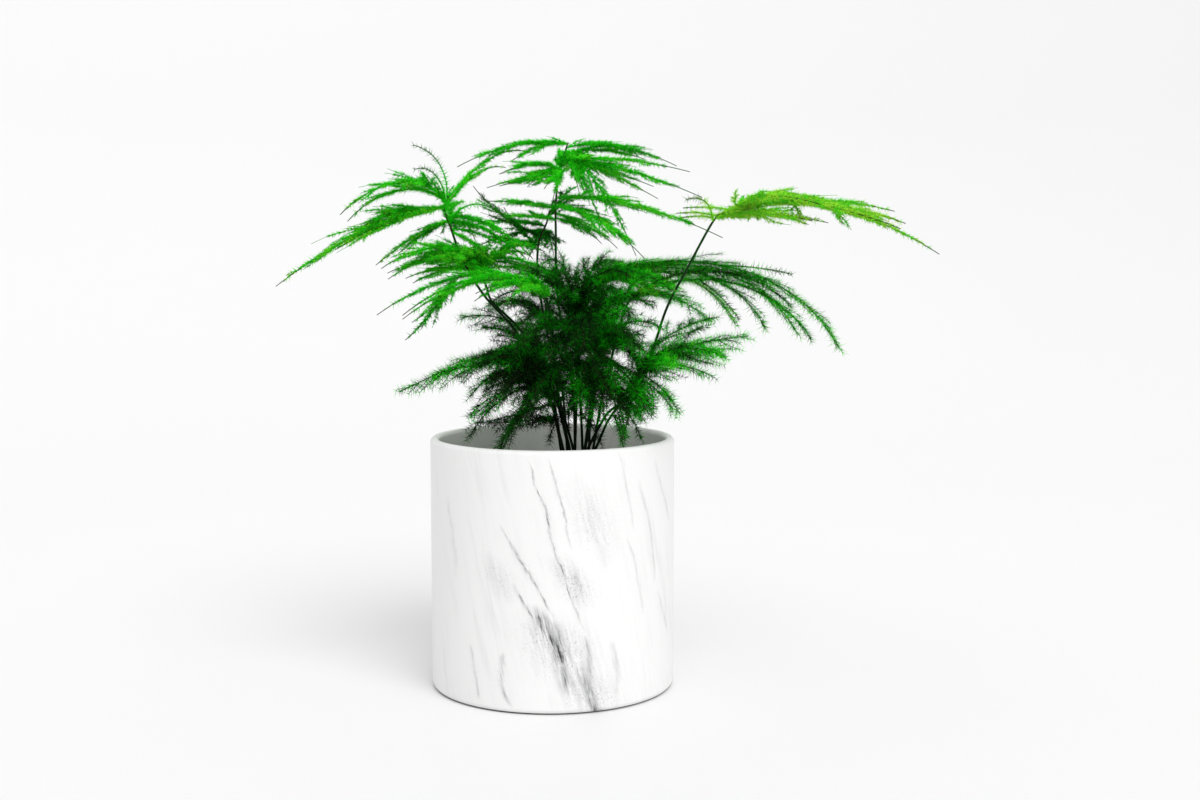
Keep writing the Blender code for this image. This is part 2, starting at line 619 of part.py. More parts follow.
def grow_lines():
    """Every frond's trunk, sprays and side twigs as middle lines, clear of the other fronds."""
    space = Space()
    grown = {}
    for name, frond in FRONDS.items():
        trunk = trunk_line(frond)
        space.take(trunk, name)
        arms = {"trunk": (None, trunk, None)}
        bones = {"trunk": points_at(trunk, tube_stations(lengths_along(trunk)[-1]))}
        for arm in frond.arms:
            parent = bones[arm.parent]
            line, heading = arm_line(arm, points_at(parent, arm.at * lengths_along(parent)[-1]))
            arms[arm.name] = (arm, line, heading)
            bones[arm.name] = points_at(line, tuft_stations(lengths_along(line)[-1]))
            space.take(line, name)
        grown[name] = {"arms": arms, "bones": bones, "twigs": []}
    for name, growth in grown.items():
        for arm, line, heading in growth["arms"].values():
            if arm is None or arm.spread == 0:
                continue
            count = int(arm.length / TWIG_EVERY)
            for k in range(count):
                u = (k + TWIG_FIRST) / (count + 1 - TWIG_FIRST)
                side = 1 if k % 2 == 0 else -1
                if twig_length(arm, u) < SHORTEST_TWIG:
                    continue
                twig = twig_line(arm, line, heading, growth["bones"][arm.name], u, side)
                if clear_of_pot(twig) and space.is_clear(twig, name, CLEAR_LINE):
                    space.take(twig, name)
                    growth["twigs"].append(twig)
    return grown, space


def needle_test(frond, lines, needles):
    """The test for a frond's needles: off the pot and clear of other fronds. One that passes takes its room."""
    def fits(root, point):
        samples = root + (point - root) * NEEDLE_CHECKS[:, None]
        good = (clear_of_pot(samples) and lines.is_clear(samples, frond, CLEAR_NEEDLE_LINE)
                and needles.is_clear(samples, frond, CLEAR_NEEDLES))
        if good:
            needles.take(samples, frond)
        return good

    return fits


def make_fronds():
    """A stem and a plume for each frond: the plume is the stem's upper end, fused with its sprays and twigs."""
    grown, lines = grow_lines()
    needles = Space()
    for index, (name, frond) in enumerate(FRONDS.items()):
        trunk = grown[name]["arms"]["trunk"][1]
        length = lengths_along(trunk)[-1]
        joint = frond.bare * length
        tube("stem_" + name, trunk, 0.0, joint - GAP / 2, (STEM_FOOT_RADIUS, STEM_TOP_RADIUS), STEM)
        plume = tube("plume_" + name, trunk, joint + GAP / 2, length, (STEM_TOP_RADIUS, TRUNK_TOP_RADIUS),
                     TONES[frond.tone])

        fits = needle_test(name, lines, needles)
        sprays = bpy.data.collections.new("sprays_" + name)
        bpy.context.scene.collection.children.link(sprays)
        random = np.random.default_rng(index)
        for arm, line, heading in grown[name]["arms"].values():
            if arm is not None:
                needle_twig(arm.name, line, (ARM_RADIUS, ARM_TIP_RADIUS), frond.needle, fits, random, sprays)
        for k, twig in enumerate(grown[name]["twigs"]):
            needle_twig(f"twig_{k}", twig, (TWIG_RADIUS, ARM_TIP_RADIUS), frond.needle, fits, random, sprays)
        apply_boolean(plume, sprays, "UNION")


def main():
    clear_scene()
    make_pot()
    make_soil()
    make_fronds()


main()
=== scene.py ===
import math

import bpy
import numpy as np
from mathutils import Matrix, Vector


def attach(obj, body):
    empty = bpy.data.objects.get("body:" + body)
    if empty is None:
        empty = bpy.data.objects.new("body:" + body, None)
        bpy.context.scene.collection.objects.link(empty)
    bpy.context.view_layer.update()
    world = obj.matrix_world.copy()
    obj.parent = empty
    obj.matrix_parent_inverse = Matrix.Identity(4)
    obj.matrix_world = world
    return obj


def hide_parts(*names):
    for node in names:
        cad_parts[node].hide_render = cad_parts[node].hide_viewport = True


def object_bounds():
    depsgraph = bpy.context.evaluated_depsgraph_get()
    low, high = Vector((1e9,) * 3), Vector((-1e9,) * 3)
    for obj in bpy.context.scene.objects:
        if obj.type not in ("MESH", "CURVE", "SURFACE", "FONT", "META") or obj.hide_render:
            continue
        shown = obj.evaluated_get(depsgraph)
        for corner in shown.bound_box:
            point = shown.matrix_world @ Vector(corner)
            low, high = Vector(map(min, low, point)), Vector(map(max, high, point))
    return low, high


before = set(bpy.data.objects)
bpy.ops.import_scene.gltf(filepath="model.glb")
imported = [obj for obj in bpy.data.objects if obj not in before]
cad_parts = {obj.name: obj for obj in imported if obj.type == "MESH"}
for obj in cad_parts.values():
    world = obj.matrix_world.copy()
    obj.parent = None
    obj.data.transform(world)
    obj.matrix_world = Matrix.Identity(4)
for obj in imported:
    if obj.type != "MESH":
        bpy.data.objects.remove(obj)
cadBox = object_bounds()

# A lace fern in a straight marbled pot. Shapes are worked out in millimetres and put into their meshes in metres.
mm = 0.001
cadLow, cadHigh = (np.array(corner) / mm for corner in cadBox)


# Materials

def newMaterial(name, roughness):
    material = bpy.data.materials.new(name)
    material.use_nodes = True
    shader = material.node_tree.nodes["Principled BSDF"]
    shader.inputs["Roughness"].default_value = roughness
    return material, material.node_tree, shader


def addNode(tree, kind, **settings):
    made = tree.nodes.new("ShaderNode" + kind)
    for key, value in settings.items():
        setattr(made, key, value)
    return made


def feed(tree, socket, value):  # a number, a colour or another node's output
    if isinstance(value, bpy.types.NodeSocket):
        tree.links.new(value, socket)
    else:
        socket.default_value = value


def maths(tree, operation, *values, clamp=False):
    made = addNode(tree, "Math", operation=operation, use_clamp=clamp)
    for socket, value in zip(made.inputs, values):
        feed(tree, socket, value)
    return made.outputs[0]


def noise(tree, place, scale, detail=3.0, roughness=0.5, stretch=(1.0, 1.0, 1.0)):
    mapping = addNode(tree, "Mapping")
    mapping.inputs["Scale"].default_value = stretch
    feed(tree, mapping.inputs["Vector"], place)
    made = addNode(tree, "TexNoise")
    feed(tree, made.inputs["Vector"], mapping.outputs[0])
    made.inputs["Scale"].default_value = scale
    made.inputs["Detail"].default_value = detail
    made.inputs["Roughness"].default_value = roughness
    return made.outputs["Fac"]


def ramp(tree, value, stops):
    made = addNode(tree, "ValToRGB")
    points = made.color_ramp.elements
    while len(points) < len(stops):
        points.new(0.5)
    for point, (place, colour) in zip(points, stops):
        point.position = place
        point.color = (*colour, 1.0) if len(colour) == 3 else colour
    feed(tree, made.inputs["Fac"], value)
    return made.outputs["Color"]


def mix(tree, share, first, second):
    made = addNode(tree, "Mix", data_type="RGBA")
    feed(tree, made.inputs[0], share)
    for socket, colour in ((made.inputs[6], first), (made.inputs[7], second)):
        feed(tree, socket, colour if isinstance(colour, bpy.types.NodeSocket) else (*colour, 1.0))
    return made.outputs[2]


def bump(tree, shader, height, distance, strength=1.0):
    made = addNode(tree, "Bump")
    made.inputs["Distance"].default_value = distance * mm
    made.inputs["Strength"].default_value = strength
    feed(tree, made.inputs["Height"], height)
    tree.links.new(made.outputs["Normal"], shader.inputs["Normal"])


# Meshes

def makePiece(name, points, faceSets, material, node=None, values=None, smooth=True):
    # points (n, 3) in millimetres, faceSets: arrays of triangles or quads, values: numbers kept at each point
    mesh = bpy.data.meshes.new(name)
    mesh.vertices.add(len(points))
    mesh.vertices.foreach_set("co", (points * mm).astype(np.float32).ravel())
    corners = np.concatenate([faces.ravel() for faces in faceSets]).astype(np.int32)
    sizes = np.concatenate([np.full(len(faces), faces.shape[1]) for faces in faceSets])
    mesh.loops.add(len(corners))
    mesh.loops.foreach_set("vertex_index", corners)
    mesh.polygons.add(len(sizes))
    mesh.polygons.foreach_set("loop_start", (np.cumsum(sizes) - sizes).astype(np.int32))
    mesh.update(calc_edges=True)
    mesh.polygons.foreach_set("use_smooth", np.full(len(sizes), smooth))
    for key, numbers in (values or {}).items():
        mesh.attributes.new(key, "FLOAT", "POINT").data.foreach_set("value", numbers.astype(np.float32))
    mesh.materials.append(material)
    piece = bpy.data.objects.new(name, mesh)
    bpy.context.scene.collection.objects.link(piece)
    if node:
        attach(piece, "root")
        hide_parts(node)
    print(f"{name}: {int((sizes - 2).sum())} triangles")
    return piece


def unit(vectors):
    return vectors / np.maximum(np.linalg.norm(vectors, axis=-1, keepdims=True), 1e-9)


def arc(x, z, radius, start, end, steps):  # (x + r*cos a, z + r*sin a), a from start to end in degrees
    a = np.radians(np.linspace(start, end, steps + 1))
    return np.stack([x + radius * np.cos(a), z + radius * np.sin(a)], axis=-1)


# A profile (r, z) turned round the Z axis: point (k, j) is (r_k*cos t_j, r_k*sin t_j, z_k), closed by a point on
# the axis at both ends.
def turned(profile, sides):
    t = np.linspace(0.0, 2 * np.pi, sides, endpoint=False)
    r, z = profile[:, 0, None], profile[:, 1, None]
    rings = np.stack([r * np.cos(t), r * np.sin(t), z + 0 * t], axis=-1).reshape(-1, 3)
    ends = np.array([[0, 0, profile[0, 1]], [0, 0, profile[-1, 1]]])
    points = np.vstack([rings, ends])
    k, j = np.meshgrid(np.arange(len(profile) - 1), np.arange(sides), indexing="ij")
    a, b = k * sides + j, k * sides + (j + 1) % sides
    quads = np.stack([a, b, b + sides, a + sides], axis=-1).reshape(-1, 4)
    j = np.arange(sides)
    first, last = len(rings), len(rings) + 1
    top = (len(profile) - 1) * sides
    fans = np.vstack([np.stack([np.full(sides, first), (j + 1) % sides, j], axis=-1),
                      np.stack([np.full(sides, last), top + j, top + (j + 1) % sides], axis=-1)])
    return points, [quads, fans]


# Two cross directions for each point of a stack of lines: the first as near upright as the line lets it be.
def crossDirections(lines):
    along = unit(np.gradient(lines, axis=1))
    upright = np.abs(along[:, :, 2:]).max(axis=1, keepdims=True) > 0.93
    reference = np.where(upright, np.array([0.3, -1.0, 0.1]), np.array([0.0, 0.0, 1.0]))
    aside = unit(np.cross(along, reference))
    return along, np.cross(aside, along), aside


# Tubes round a stack of lines (n, m, 3) with radii (n, m): point (i, k, j) is line + r*(cos t*up + sin t*aside).
# Both ends are closed by one flat face.
def tubes(lines, radii, sides, start=0):
    along, up, aside = crossDirections(lines)
    n, m = lines.shape[:2]
    t = (np.arange(sides) * 2 * np.pi / sides)[:, None]
    ring = np.cos(t) * up[:, :, None] + np.sin(t) * aside[:, :, None]
    points = (lines[:, :, None] + radii[:, :, None, None] * ring).reshape(-1, 3)
    i, k, j = np.meshgrid(np.arange(n), np.arange(m - 1), np.arange(sides), indexing="ij")
    first = (i * m + k) * sides
    a, b = first + j, first + (j + 1) % sides
    walls = np.stack([a, a + sides, b + sides, b], axis=-1).reshape(-1, 4)
    root = np.arange(n)[:, None] * m * sides + np.arange(sides)
    tip = root[:, ::-1] + (m - 1) * sides
    return points, [walls + start, root + start, tip + start]


# The plant's lines, in millimetres and degrees. A frond stands at an angle and a distance from the crown, its stem is
# bare up to the fraction "bare" of its line, which goes through the route, and "needle" is its needles' length.
# An arm is one spray: name, parent, fraction of the parent where it starts, compass heading and turn, rise at its
# root and fall at its tip, how late it bends, length, and the length of its longer side twigs.
# tint sets a frond's needle colour; the low tints of the bush's fronds are partly their own darker green and partly
# painted shade of the dense bush
fronds = {
    "top": {"ring": (98, 8.2), "bare": 0.78, "needle": 4.2, "slot": "needles_bright",
        "look": "fan", "tint": 0.63, "tipTint": 0.12, "beside": (1, 20, 9), "leafy": 0.78,
        "route": ((12, 6, 165), (7, 6, 197), (3, 8, 223), (2, 9, 245), (2, 9, 260), (2, 10, 277),
            (4, 11, 294), (9, 12, 312)),
        "arms": (
            ("crestLeft", "trunk", 0.995, -156, 11, 18, -27, 0.5, 72, 14),
            ("crestRight", "trunk", 0.985, 12, 4, 24, -24, 0.5, 68, 16),
            ("longTail", "trunk", 0.95, -37, 4, 3, -22, 0.5, 97, 14),
            ("bandLeft", "trunk", 0.927, -124, -5, 16, -20, 0.7, 55, 16),
            ("bandBack", "trunk", 0.917, 120, 40, 10, -15, 0.5, 60, 16),
            ("tierRight", "trunk", 0.85, -34, -10, 8, -21, 0.5, 119, 18),
            ("tierLeft", "trunk", 0.822, -131, -12, 16, -3, 0.5, 53, 12),
            ("tierLow", "trunk", 0.81, 40, 5, -13, -35, 1.4, 53, 12),
            ("droopRight", "trunk", 0.975, -53, 10, -14, -60, 0.5, 86, 12),
            ("droopBack", "trunk", 0.965, 33, 0, -11, -24, 0.5, 70, 12),
            ("rear", "trunk", 0.941, 80, 0, 40, -28, 0.5, 104, 16),
            ("fore", "trunk", 0.907, -87, -8, 16, -26, 0.5, 95, 7),
        )},
    "top_left": {"ring": (90, 3.4), "bare": 0.87, "needle": 4.2, "slot": "needles_green",
        "look": "fan", "tint": 0.44, "tipTint": 0.1, "beside": (1, 22, 12), "leafy": 0.85,
        "route": ((4, 5, 165), (-2, 8, 197), (-7, 12, 223), (-9, 15, 240), (-8, 18, 256), (-4, 19, 265),
            (-2, 20, 273)),
        "arms": (
            ("reachLeft", "trunk", 0.912, -153, 9, 25, 49, 1.9, 52, 14),
            ("upRight", "trunk", 0.99, 60, 10, 40, 10, 1.0, 42, 10),
            ("backLeft", "trunk", 0.95, 144, 0, 11, -13, 1.3, 59, 12),
            ("lowLeft", "trunk", 0.895, -150, -4, 0, 13, 1.0, 40, 13),
            ("rear", "trunk", 0.938, 96, 8, 0, -25, 0.8, 77, 14),
        )},
    "left_high": {"ring": (196, 8.2), "bare": 0.885, "needle": 4.2, "slot": "needles_bright",
        "look": "fan", "tint": 0.61, "tipTint": 0.26, "beside": (1, 20, 9), "leafy": 0.93,
        "route": ((0, -6, 163), (-12, -14, 192), (-22, -17, 208), (-30, -19, 217), (-37, -21, 225), (-44, -23, 236),
            (-50, -25, 248), (-55, -27, 263), (-58, -28, 273), (-56, -28, 280)),
        "arms": (
            ("upper", "trunk", 0.982, -135, -16, 58, -45, 0.6, 73, 17),
            ("long", "trunk", 0.97, -168, 11, -1, -37, 0.5, 106, 25),
            ("third", "trunk", 0.932, 147, 5, -10, -34, 0.5, 57, 12),
            ("armUp", "trunk", 0.992, 45, -7, 42, -13, 2.3, 67, 9),
            ("shoot", "trunk", 0.96, 74, 100, 58, 13, 3.0, 52, 0),
            ("arch", "trunk", 0.95, -78, -78, 58, -22, 3.0, 40, 0),
            ("right", "trunk", 0.921, -48, 16, 58, -51, 0.8, 55, 0),
            ("rightFore", "trunk", 0.945, -22, 8, 8, -48, 0.7, 58, 9),
            ("rightBack", "trunk", 0.93, 28, -6, 4, -44, 0.7, 52, 9),
            ("rightLow", "trunk", 0.9, -8, 0, -22, -52, 0.8, 36, 8),
            ("rear", "trunk", 0.91, 95, 0, 58, -30, 0.6, 81, 12),
            ("pad", "long", 0.14, -150, 0, 14, -34, 0.7, 34, 16),
            ("padUp", "upper", 0.2, -110, 0, 30, -24, 0.7, 28, 16),
        )},
    "left_low": {"ring": (162, 3.4), "bare": 0.91, "needle": 4.4, "slot": "needles_bright",
        "look": "fan", "tint": 0.65, "tipTint": 0.04, "beside": (2, 14, 7), "leafy": 0.9,
        "route": ((3, -2, 163), (-8, -5, 192), (-19, -8, 207), (-27, -10, 215), (-34, -11, 222), (-37, -12, 231),
            (-40, -13, 240), (-42, -13, 247)),
        "arms": (
            ("main", "trunk", 0.975, -139, -6, 58, -32, 0.5, 67, 18),
            ("second", "trunk", 0.957, 151, 17, 40, -24, 0.5, 61, 16),
            ("right", "trunk", 0.945, -41, 1, 58, -23, 0.8, 54, 12),
            ("rear", "trunk", 0.933, 102, -3, 55, -25, 0.5, 76, 14),
            ("pad", "trunk", 0.985, -112, 0, 34, -24, 0.6, 36, 24),
            ("padLeft", "trunk", 0.975, -146, 10, 40, -20, 0.6, 40, 20),
            ("padBack", "trunk", 0.98, 160, 0, 34, -16, 0.6, 36, 18),
            ("padFront", "trunk", 0.99, -88, 0, 40, -10, 0.6, 26, 14),
            ("padRight", "trunk", 0.975, -18, 12, 34, -34, 0.6, 46, 11),
        )},
    "left_mid": {"ring": (234, 3.4), "bare": 0.95, "needle": 4.6, "slot": "needles_green",
        "look": "fan", "tint": 0.6, "tipTint": 0.08, "beside": (2, 20, 9), "leafy": 0.9,
        "route": ((4, -10, 164), (2, -18, 184), (1, -24, 204), (-1, -28, 219), (-4, -31, 229)),
        "arms": (
            ("main", "trunk", 0.992, -160, -8, 50, -36, 0.5, 99, 16),
            ("fore", "trunk", 0.977, -121, -11, 48, -27, 0.5, 62, 12),
            ("hanging", "main", 0.54, -138, -25, -58, -39, 1.2, 43, 10),
        )},
    "far_right": {"ring": (306, 3.4), "bare": 0.965, "needle": 4.4, "slot": "needles_yellow",
        "look": "fan", "tint": 0.92, "tipTint": 0.06, "beside": (0, 14, 5), "leafy": 0.95,
        "route": ((29, -9, 154), (39, -14, 164), (48, -19, 173), (55, -24, 189), (64, -31, 218), (75, -35, 240),
            (86, -38, 261), (91, -39, 269)),
        "arms": (
            ("main", "trunk", 0.995, -5, -5, 40, -34, 0.5, 127, 24),
            ("backOver", "main", 0.27, 172, 0, -6, -16, 0.6, 36, 10),
            ("backOverFore", "main", 0.22, -158, 0, -8, -18, 0.6, 30, 9),
            ("foreThree", "main", 0.48, -48, 12, -6, -22, 0.7, 48, 12),
            ("backThree", "main", 0.5, 38, -10, 2, -16, 0.7, 56, 12),
            ("backSweep", "trunk", 0.98, -101, -43, 58, -15, 1.0, 33, 0),
            ("foreOne", "main", 0.09, -71, 20, 19, -15, 0.8, 77, 18),
            ("backOne", "main", 0.11, 60, -18, 20, -8, 0.8, 86, 18),
            ("foreTwo", "main", 0.31, -59, 15, -1, -17, 0.8, 69, 14),
            ("backTwo", "main", 0.34, 46, -15, 8, -10, 0.7, 83, 14),
            ("overStem", "trunk", 0.998, 176, 0, 22, -6, 0.6, 22, 4),
            ("overStemFore", "trunk", 0.99, -158, 0, 24, -10, 0.5, 20, 4),
            ("overStemHigh", "main", 0.07, 168, 0, 14, -4, 0.6, 26, 4),
            ("under", "trunk", 0.996, -26, -5, 16, -14, 0.6, 56, 19),
            ("underBack", "trunk", 0.99, 22, -10, 16, -12, 0.6, 68, 16),
            ("hangOne", "main", 0.16, -70, 0, -10, -64, 0.6, 13, 8),
            ("hangTwo", "main", 0.34, -80, 10, -10, -64, 0.6, 14, 9),
            ("hangThree", "main", 0.5, -62, 0, -10, -60, 0.6, 14, 9),
        )},
    "right_high": {"ring": (18, 3.4), "bare": 0.935, "needle": 5.2, "slot": "needles_green",
        "look": "level", "tint": 0.5, "tipTint": 0.24, "beside": (3, 4, 2), "leafy": 1.0,
        "route": ((24, 5, 165), (26, 8, 194), (27, 12, 223), (29, 14, 240)),
        "arms": (
            ("main", "trunk", 0.993, -6, -20, 10, -62, 1.6, 155, 20),
            ("back", "trunk", 0.977, 64, -23, 28, -24, 0.5, 80, 14),
            ("fore", "trunk", 0.952, -58, 0, 36, -23, 0.5, 73, 10),
            ("side", "main", 0.45, 18, 23, -1, -11, 0.9, 50, 0),
        )},
    "right_mid": {"ring": (0, 8.2), "bare": 0.95, "needle": 5.2, "slot": "needles_green",
        "look": "level", "tint": 0.41, "tipTint": 0.14, "beside": (1, 24, 12), "leafy": 1.0,
        "route": ((28, -1, 163), (34, -1, 189), (40, 0, 212), (46, 0, 226)),
        "arms": (
            ("main", "trunk", 0.993, -6, -16, 23, -57, 1.2, 115, 16),
            ("back", "trunk", 0.972, 57, -10, 32, -30, 0.5, 80, 14),
            ("hang", "main", 0.34, 52, -16, -20, -49, 1.2, 44, 0),
        )},
    "right_low": {"ring": (327, 8.2), "bare": 0.78, "needle": 5.2, "slot": "needles_green",
        "look": "brush", "tint": 0.40, "tipTint": 0.22, "beside": (2, 36, 14), "leafy": 1.0,
        "route": ((30, -12, 150), (39, -19, 165), (46, -26, 178), (52, -31, 191)),
        "arms": (
            ("main", "trunk", 0.982, -15, -6, 30, 6, 0.5, 61, 18),
            ("back", "trunk", 0.963, 67, -33, 37, 10, 0.5, 72, 18),
            ("fore", "trunk", 0.944, -49, 15, 41, -18, 0.8, 62, 16),
            ("droop", "trunk", 0.897, -47, -10, 8, -45, 0.5, 42, 10),
            ("droopBack", "trunk", 0.872, 85, -4, 0, -51, 0.5, 52, 12),
            ("droopFore", "trunk", 0.81, -79, -45, -21, -61, 0.9, 39, 0),
            ("spur", "trunk", 0.62, -60, 0, -20, -75, 0.5, 24, 6),
        )},
    "bush_left": {"ring": (164, 8.2), "bare": 0.82, "needle": 5.2, "slot": "needles_green",
        "look": "brush", "tint": 0.34, "tipTint": 0.22, "beside": (3, 36, 16), "leafy": 1.0,
        "route": ((1, 5, 163), (-4, 5, 182), (-6, 4, 199)),
        "arms": (
            ("main", "trunk", 0.985, -129, -46, 8, -27, 0.5, 94, 16),
            ("upper", "trunk", 0.966, -171, -38, 58, -14, 0.8, 55, 14),
            ("fore", "trunk", 0.922, -120, -33, 27, -26, 0.5, 68, 14),
            ("back", "trunk", 0.862, 161, -25, 22, -43, 0.5, 59, 14),
        )},
    "bush_low": {"ring": (229, 8.2), "bare": 0.76, "needle": 5.2, "slot": "needles_dark",
        "look": "brush", "tint": 0.19, "tipTint": 0.1, "beside": (3, 45, 18), "leafy": 1.0,
        "route": ((3, -9, 152), (-2, -14, 167), (-6, -19, 178)),
        "arms": (
            ("overRim", "trunk", 0.972, -144, -75, 13, -59, 0.5, 56, 12),
            ("low", "trunk", 0.807, 132, 30, -17, -14, 0.9, 52, 10),
            ("fore", "trunk", 0.949, -103, -11, 39, -28, 0.8, 65, 14),
            ("left", "trunk", 0.926, -119, -21, 58, -29, 1.1, 60, 14),
        )},
    "bush_front": {"ring": (262, 8.2), "bare": 0.79, "needle": 5.2, "slot": "needles_dark",
        "look": "brush", "tint": 0.24, "tipTint": 0.0, "beside": (3, 50, 20), "leafy": 1.0,
        "route": ((14, -13, 161), (15, -20, 183), (15, -29, 203)),
        "arms": (
            ("fore", "trunk", 0.987, -86, 0, 57, -34, 0.6, 69, 16),
            ("left", "trunk", 0.969, -127, 7, 58, -36, 0.6, 64, 14),
            ("right", "trunk", 0.951, -55, 0, 58, -40, 0.7, 65, 14),
            ("lowRight", "trunk", 0.825, -71, 0, 26, -40, 0.7, 60, 12),
            ("lowLeft", "trunk", 0.86, -116, 0, 21, -44, 0.7, 58, 12),
            ("spurLeft", "trunk", 0.6, -165, 0, 5, -75, 0.5, 26, 6),
            ("spurRight", "trunk", 0.56, -20, 0, 5, -75, 0.5, 22, 6),
        )},
    "bush_corner": {"ring": (295, 8.2), "bare": 0.83, "needle": 5.2, "slot": "needles_green",
        "look": "brush", "tint": 0.36, "tipTint": 0.14, "beside": (3, 50, 20), "leafy": 1.0,
        "route": ((22, -13, 161), (26, -19, 180), (29, -26, 198)),
        "arms": (
            ("fore", "trunk", 0.987, -54, 9, 58, -21, 0.8, 54, 14),
            ("up", "trunk", 0.968, -52, 40, 66, 23, 3.0, 53, 14),
            ("low", "trunk", 0.872, -60, 4, 40, -55, 0.5, 56, 12),
            ("skirt", "trunk", 0.85, -88, 6, 12, -58, 0.6, 48, 12),
            ("skirtFront", "trunk", 0.92, -112, 10, 18, -52, 0.6, 46, 12),
            ("skirtLeft", "trunk", 0.88, -150, 25, 10, -48, 0.6, 40, 11),
            ("skirtRight", "trunk", 0.84, -35, 6, 10, -50, 0.6, 42, 12),
        )},
    "bush_high": {"ring": (65, 8.2), "bare": 0.91, "needle": 5.0, "slot": "needles_dark",
        "look": "brush", "tint": 0.29, "tipTint": 0.1, "beside": (4, 50, 20), "leafy": 1.0,
        "route": ((16, 5, 165), (14, 1, 194), (13, -2, 217)),
        "arms": (
            ("left", "trunk", 0.99, -135, -19, 58, -47, 1.3, 67, 16),
            ("right", "trunk", 0.975, -53, 17, 58, -42, 2.0, 56, 14),
            ("backLeft", "trunk", 0.96, 101, 21, 58, -29, 2.1, 66, 14),
            ("back", "trunk", 0.945, 71, -12, 58, -33, 1.7, 78, 16),
        )},
    "back_right": {"ring": (33, 8.2), "bare": 0.86, "needle": 5.2, "slot": "needles_green",
        "look": "brush", "tint": 0.27, "tipTint": 0.1, "beside": (1, 40, 16), "leafy": 1.0,
        "route": ((22, 14, 164), (24, 24, 190), (26, 34, 210)),
        "arms": (
            ("right", "trunk", 0.988, 56, -8, 51, -29, 0.8, 61, 14),
            ("rear", "trunk", 0.972, 80, 0, 49, -23, 0.9, 83, 18),
            ("lowRight", "trunk", 0.92, 57, 10, 2, -52, 1.0, 66, 12),
            ("lowRear", "trunk", 0.892, 93, 16, 14, -42, 1.3, 75, 14),
        )},
    "back_left": {"ring": (131, 8.2), "bare": 0.87, "needle": 5.2, "slot": "needles_green",
        "look": "brush", "tint": 0.25, "tipTint": 0.1, "beside": (1, 40, 16), "leafy": 1.0,
        "route": ((6, 14, 164), (0, 24, 190), (-3, 34, 209)),
        "arms": (
            ("left", "trunk", 0.988, 128, 5, 49, -30, 0.8, 64, 14),
            ("rear", "trunk", 0.972, 102, -5, 48, -27, 1.0, 88, 18),
            ("lowLeft", "trunk", 0.927, 130, 0, -9, -46, 1.2, 68, 12),
            ("lowRear", "trunk", 0.9, 85, -2, 3, -43, 1.8, 76, 14),
        )},
}


# Lines of the plant

def lengthsAlong(line):
    return np.concatenate([[0.0], np.cumsum(np.linalg.norm(np.diff(line, axis=0), axis=1))])


def evenLine(line, count):
    along = lengthsAlong(line)
    places = np.linspace(0.0, along[-1], count)
    return np.stack([np.interp(places, along, line[:, k]) for k in range(3)], axis=-1)


# A stem's middle line: straight up out of its hole, then a smooth curve through the route's points.
def trunkLine(frond):
    angle = math.radians(frond["ring"][0])
    x = plant["crownX"] + frond["ring"][1] * math.cos(angle)
    y = frond["ring"][1] * math.sin(angle)
    route = np.array([(x, y, plant["leanFrom"]), *frond["route"]], float)
    rise = np.linalg.norm(route[1] - route[0])
    p = np.vstack([route[1] - [0, 0, 2 * rise], route, 2 * route[-1] - route[-2]])
    t = np.linspace(0.0, 1.0, 24, endpoint=False)[:, None]
    a, b, c, d = (p[k:len(p) - 3 + k, None] for k in range(4))
    curve = 0.5 * (2 * b + (c - a) * t + (2 * a - 5 * b + 4 * c - d) * t ** 2 + (3 * b - a - 3 * c + d) * t ** 3)
    line = np.vstack([[x, y, plant["holeFoot"]], curve.reshape(-1, 3), route[-1]])
    return evenLine(line, int(lengthsAlong(line)[-1]) + 1)


# A spray's middle line: small steps in the direction (heading + turn*s, rise + (fall - rise)*s^late), s from 0 to 1.
def sprayLine(root, heading, turn, rise, fall, late, length, count):
    s = (np.arange(count - 1) + 0.5) / (count - 1)
    h = np.radians(heading + turn * s)
    v = np.radians(rise + (fall - rise) * s ** late)
    step = np.stack([np.cos(v) * np.cos(h), np.cos(v) * np.sin(h), np.sin(v)], axis=-1) * length / (count - 1)
    return root + np.vstack([np.zeros(3), np.cumsum(step, axis=0)])


# Where a stack of lines is at fractions of their length, and which way they run there.
def pointsOn(lines, which, fraction):
    place = fraction * (lines.shape[1] - 1)
    k = np.minimum(place.astype(int), lines.shape[1] - 2)
    a, b = lines[which, k], lines[which, k + 1]
    return a + (b - a) * (place - k)[:, None], unit(b - a)


# Each line of a stack that would leave the CAD box is drawn in towards its root until it just stays inside.
def drawnIn(lines, margin):
    root = lines[:, :1]
    offset = lines - root
    room = np.where(offset > 0, cadHigh - margin - root, root - cadLow - margin)
    share = np.minimum(1.0, (np.maximum(room, 0.0) / np.maximum(np.abs(offset), 1e-6)).min(axis=(1, 2)))
    return root + offset * share[:, None, None], share


def clearOfPot(points, room):  # False inside the pot's wall or in the soil, and nearer to them than the room
    r = np.hypot(points[..., 0], points[..., 1])
    inner = pot["radius"] - pot["wall"] - room
    inWall = (r > inner) & (r < pot["radius"] + room) & (points[..., 2] < pot["height"] + room)
    return ~(inWall | ((r <= inner) & (points[..., 2] < soil["top"] + soil["dome"] + room)))


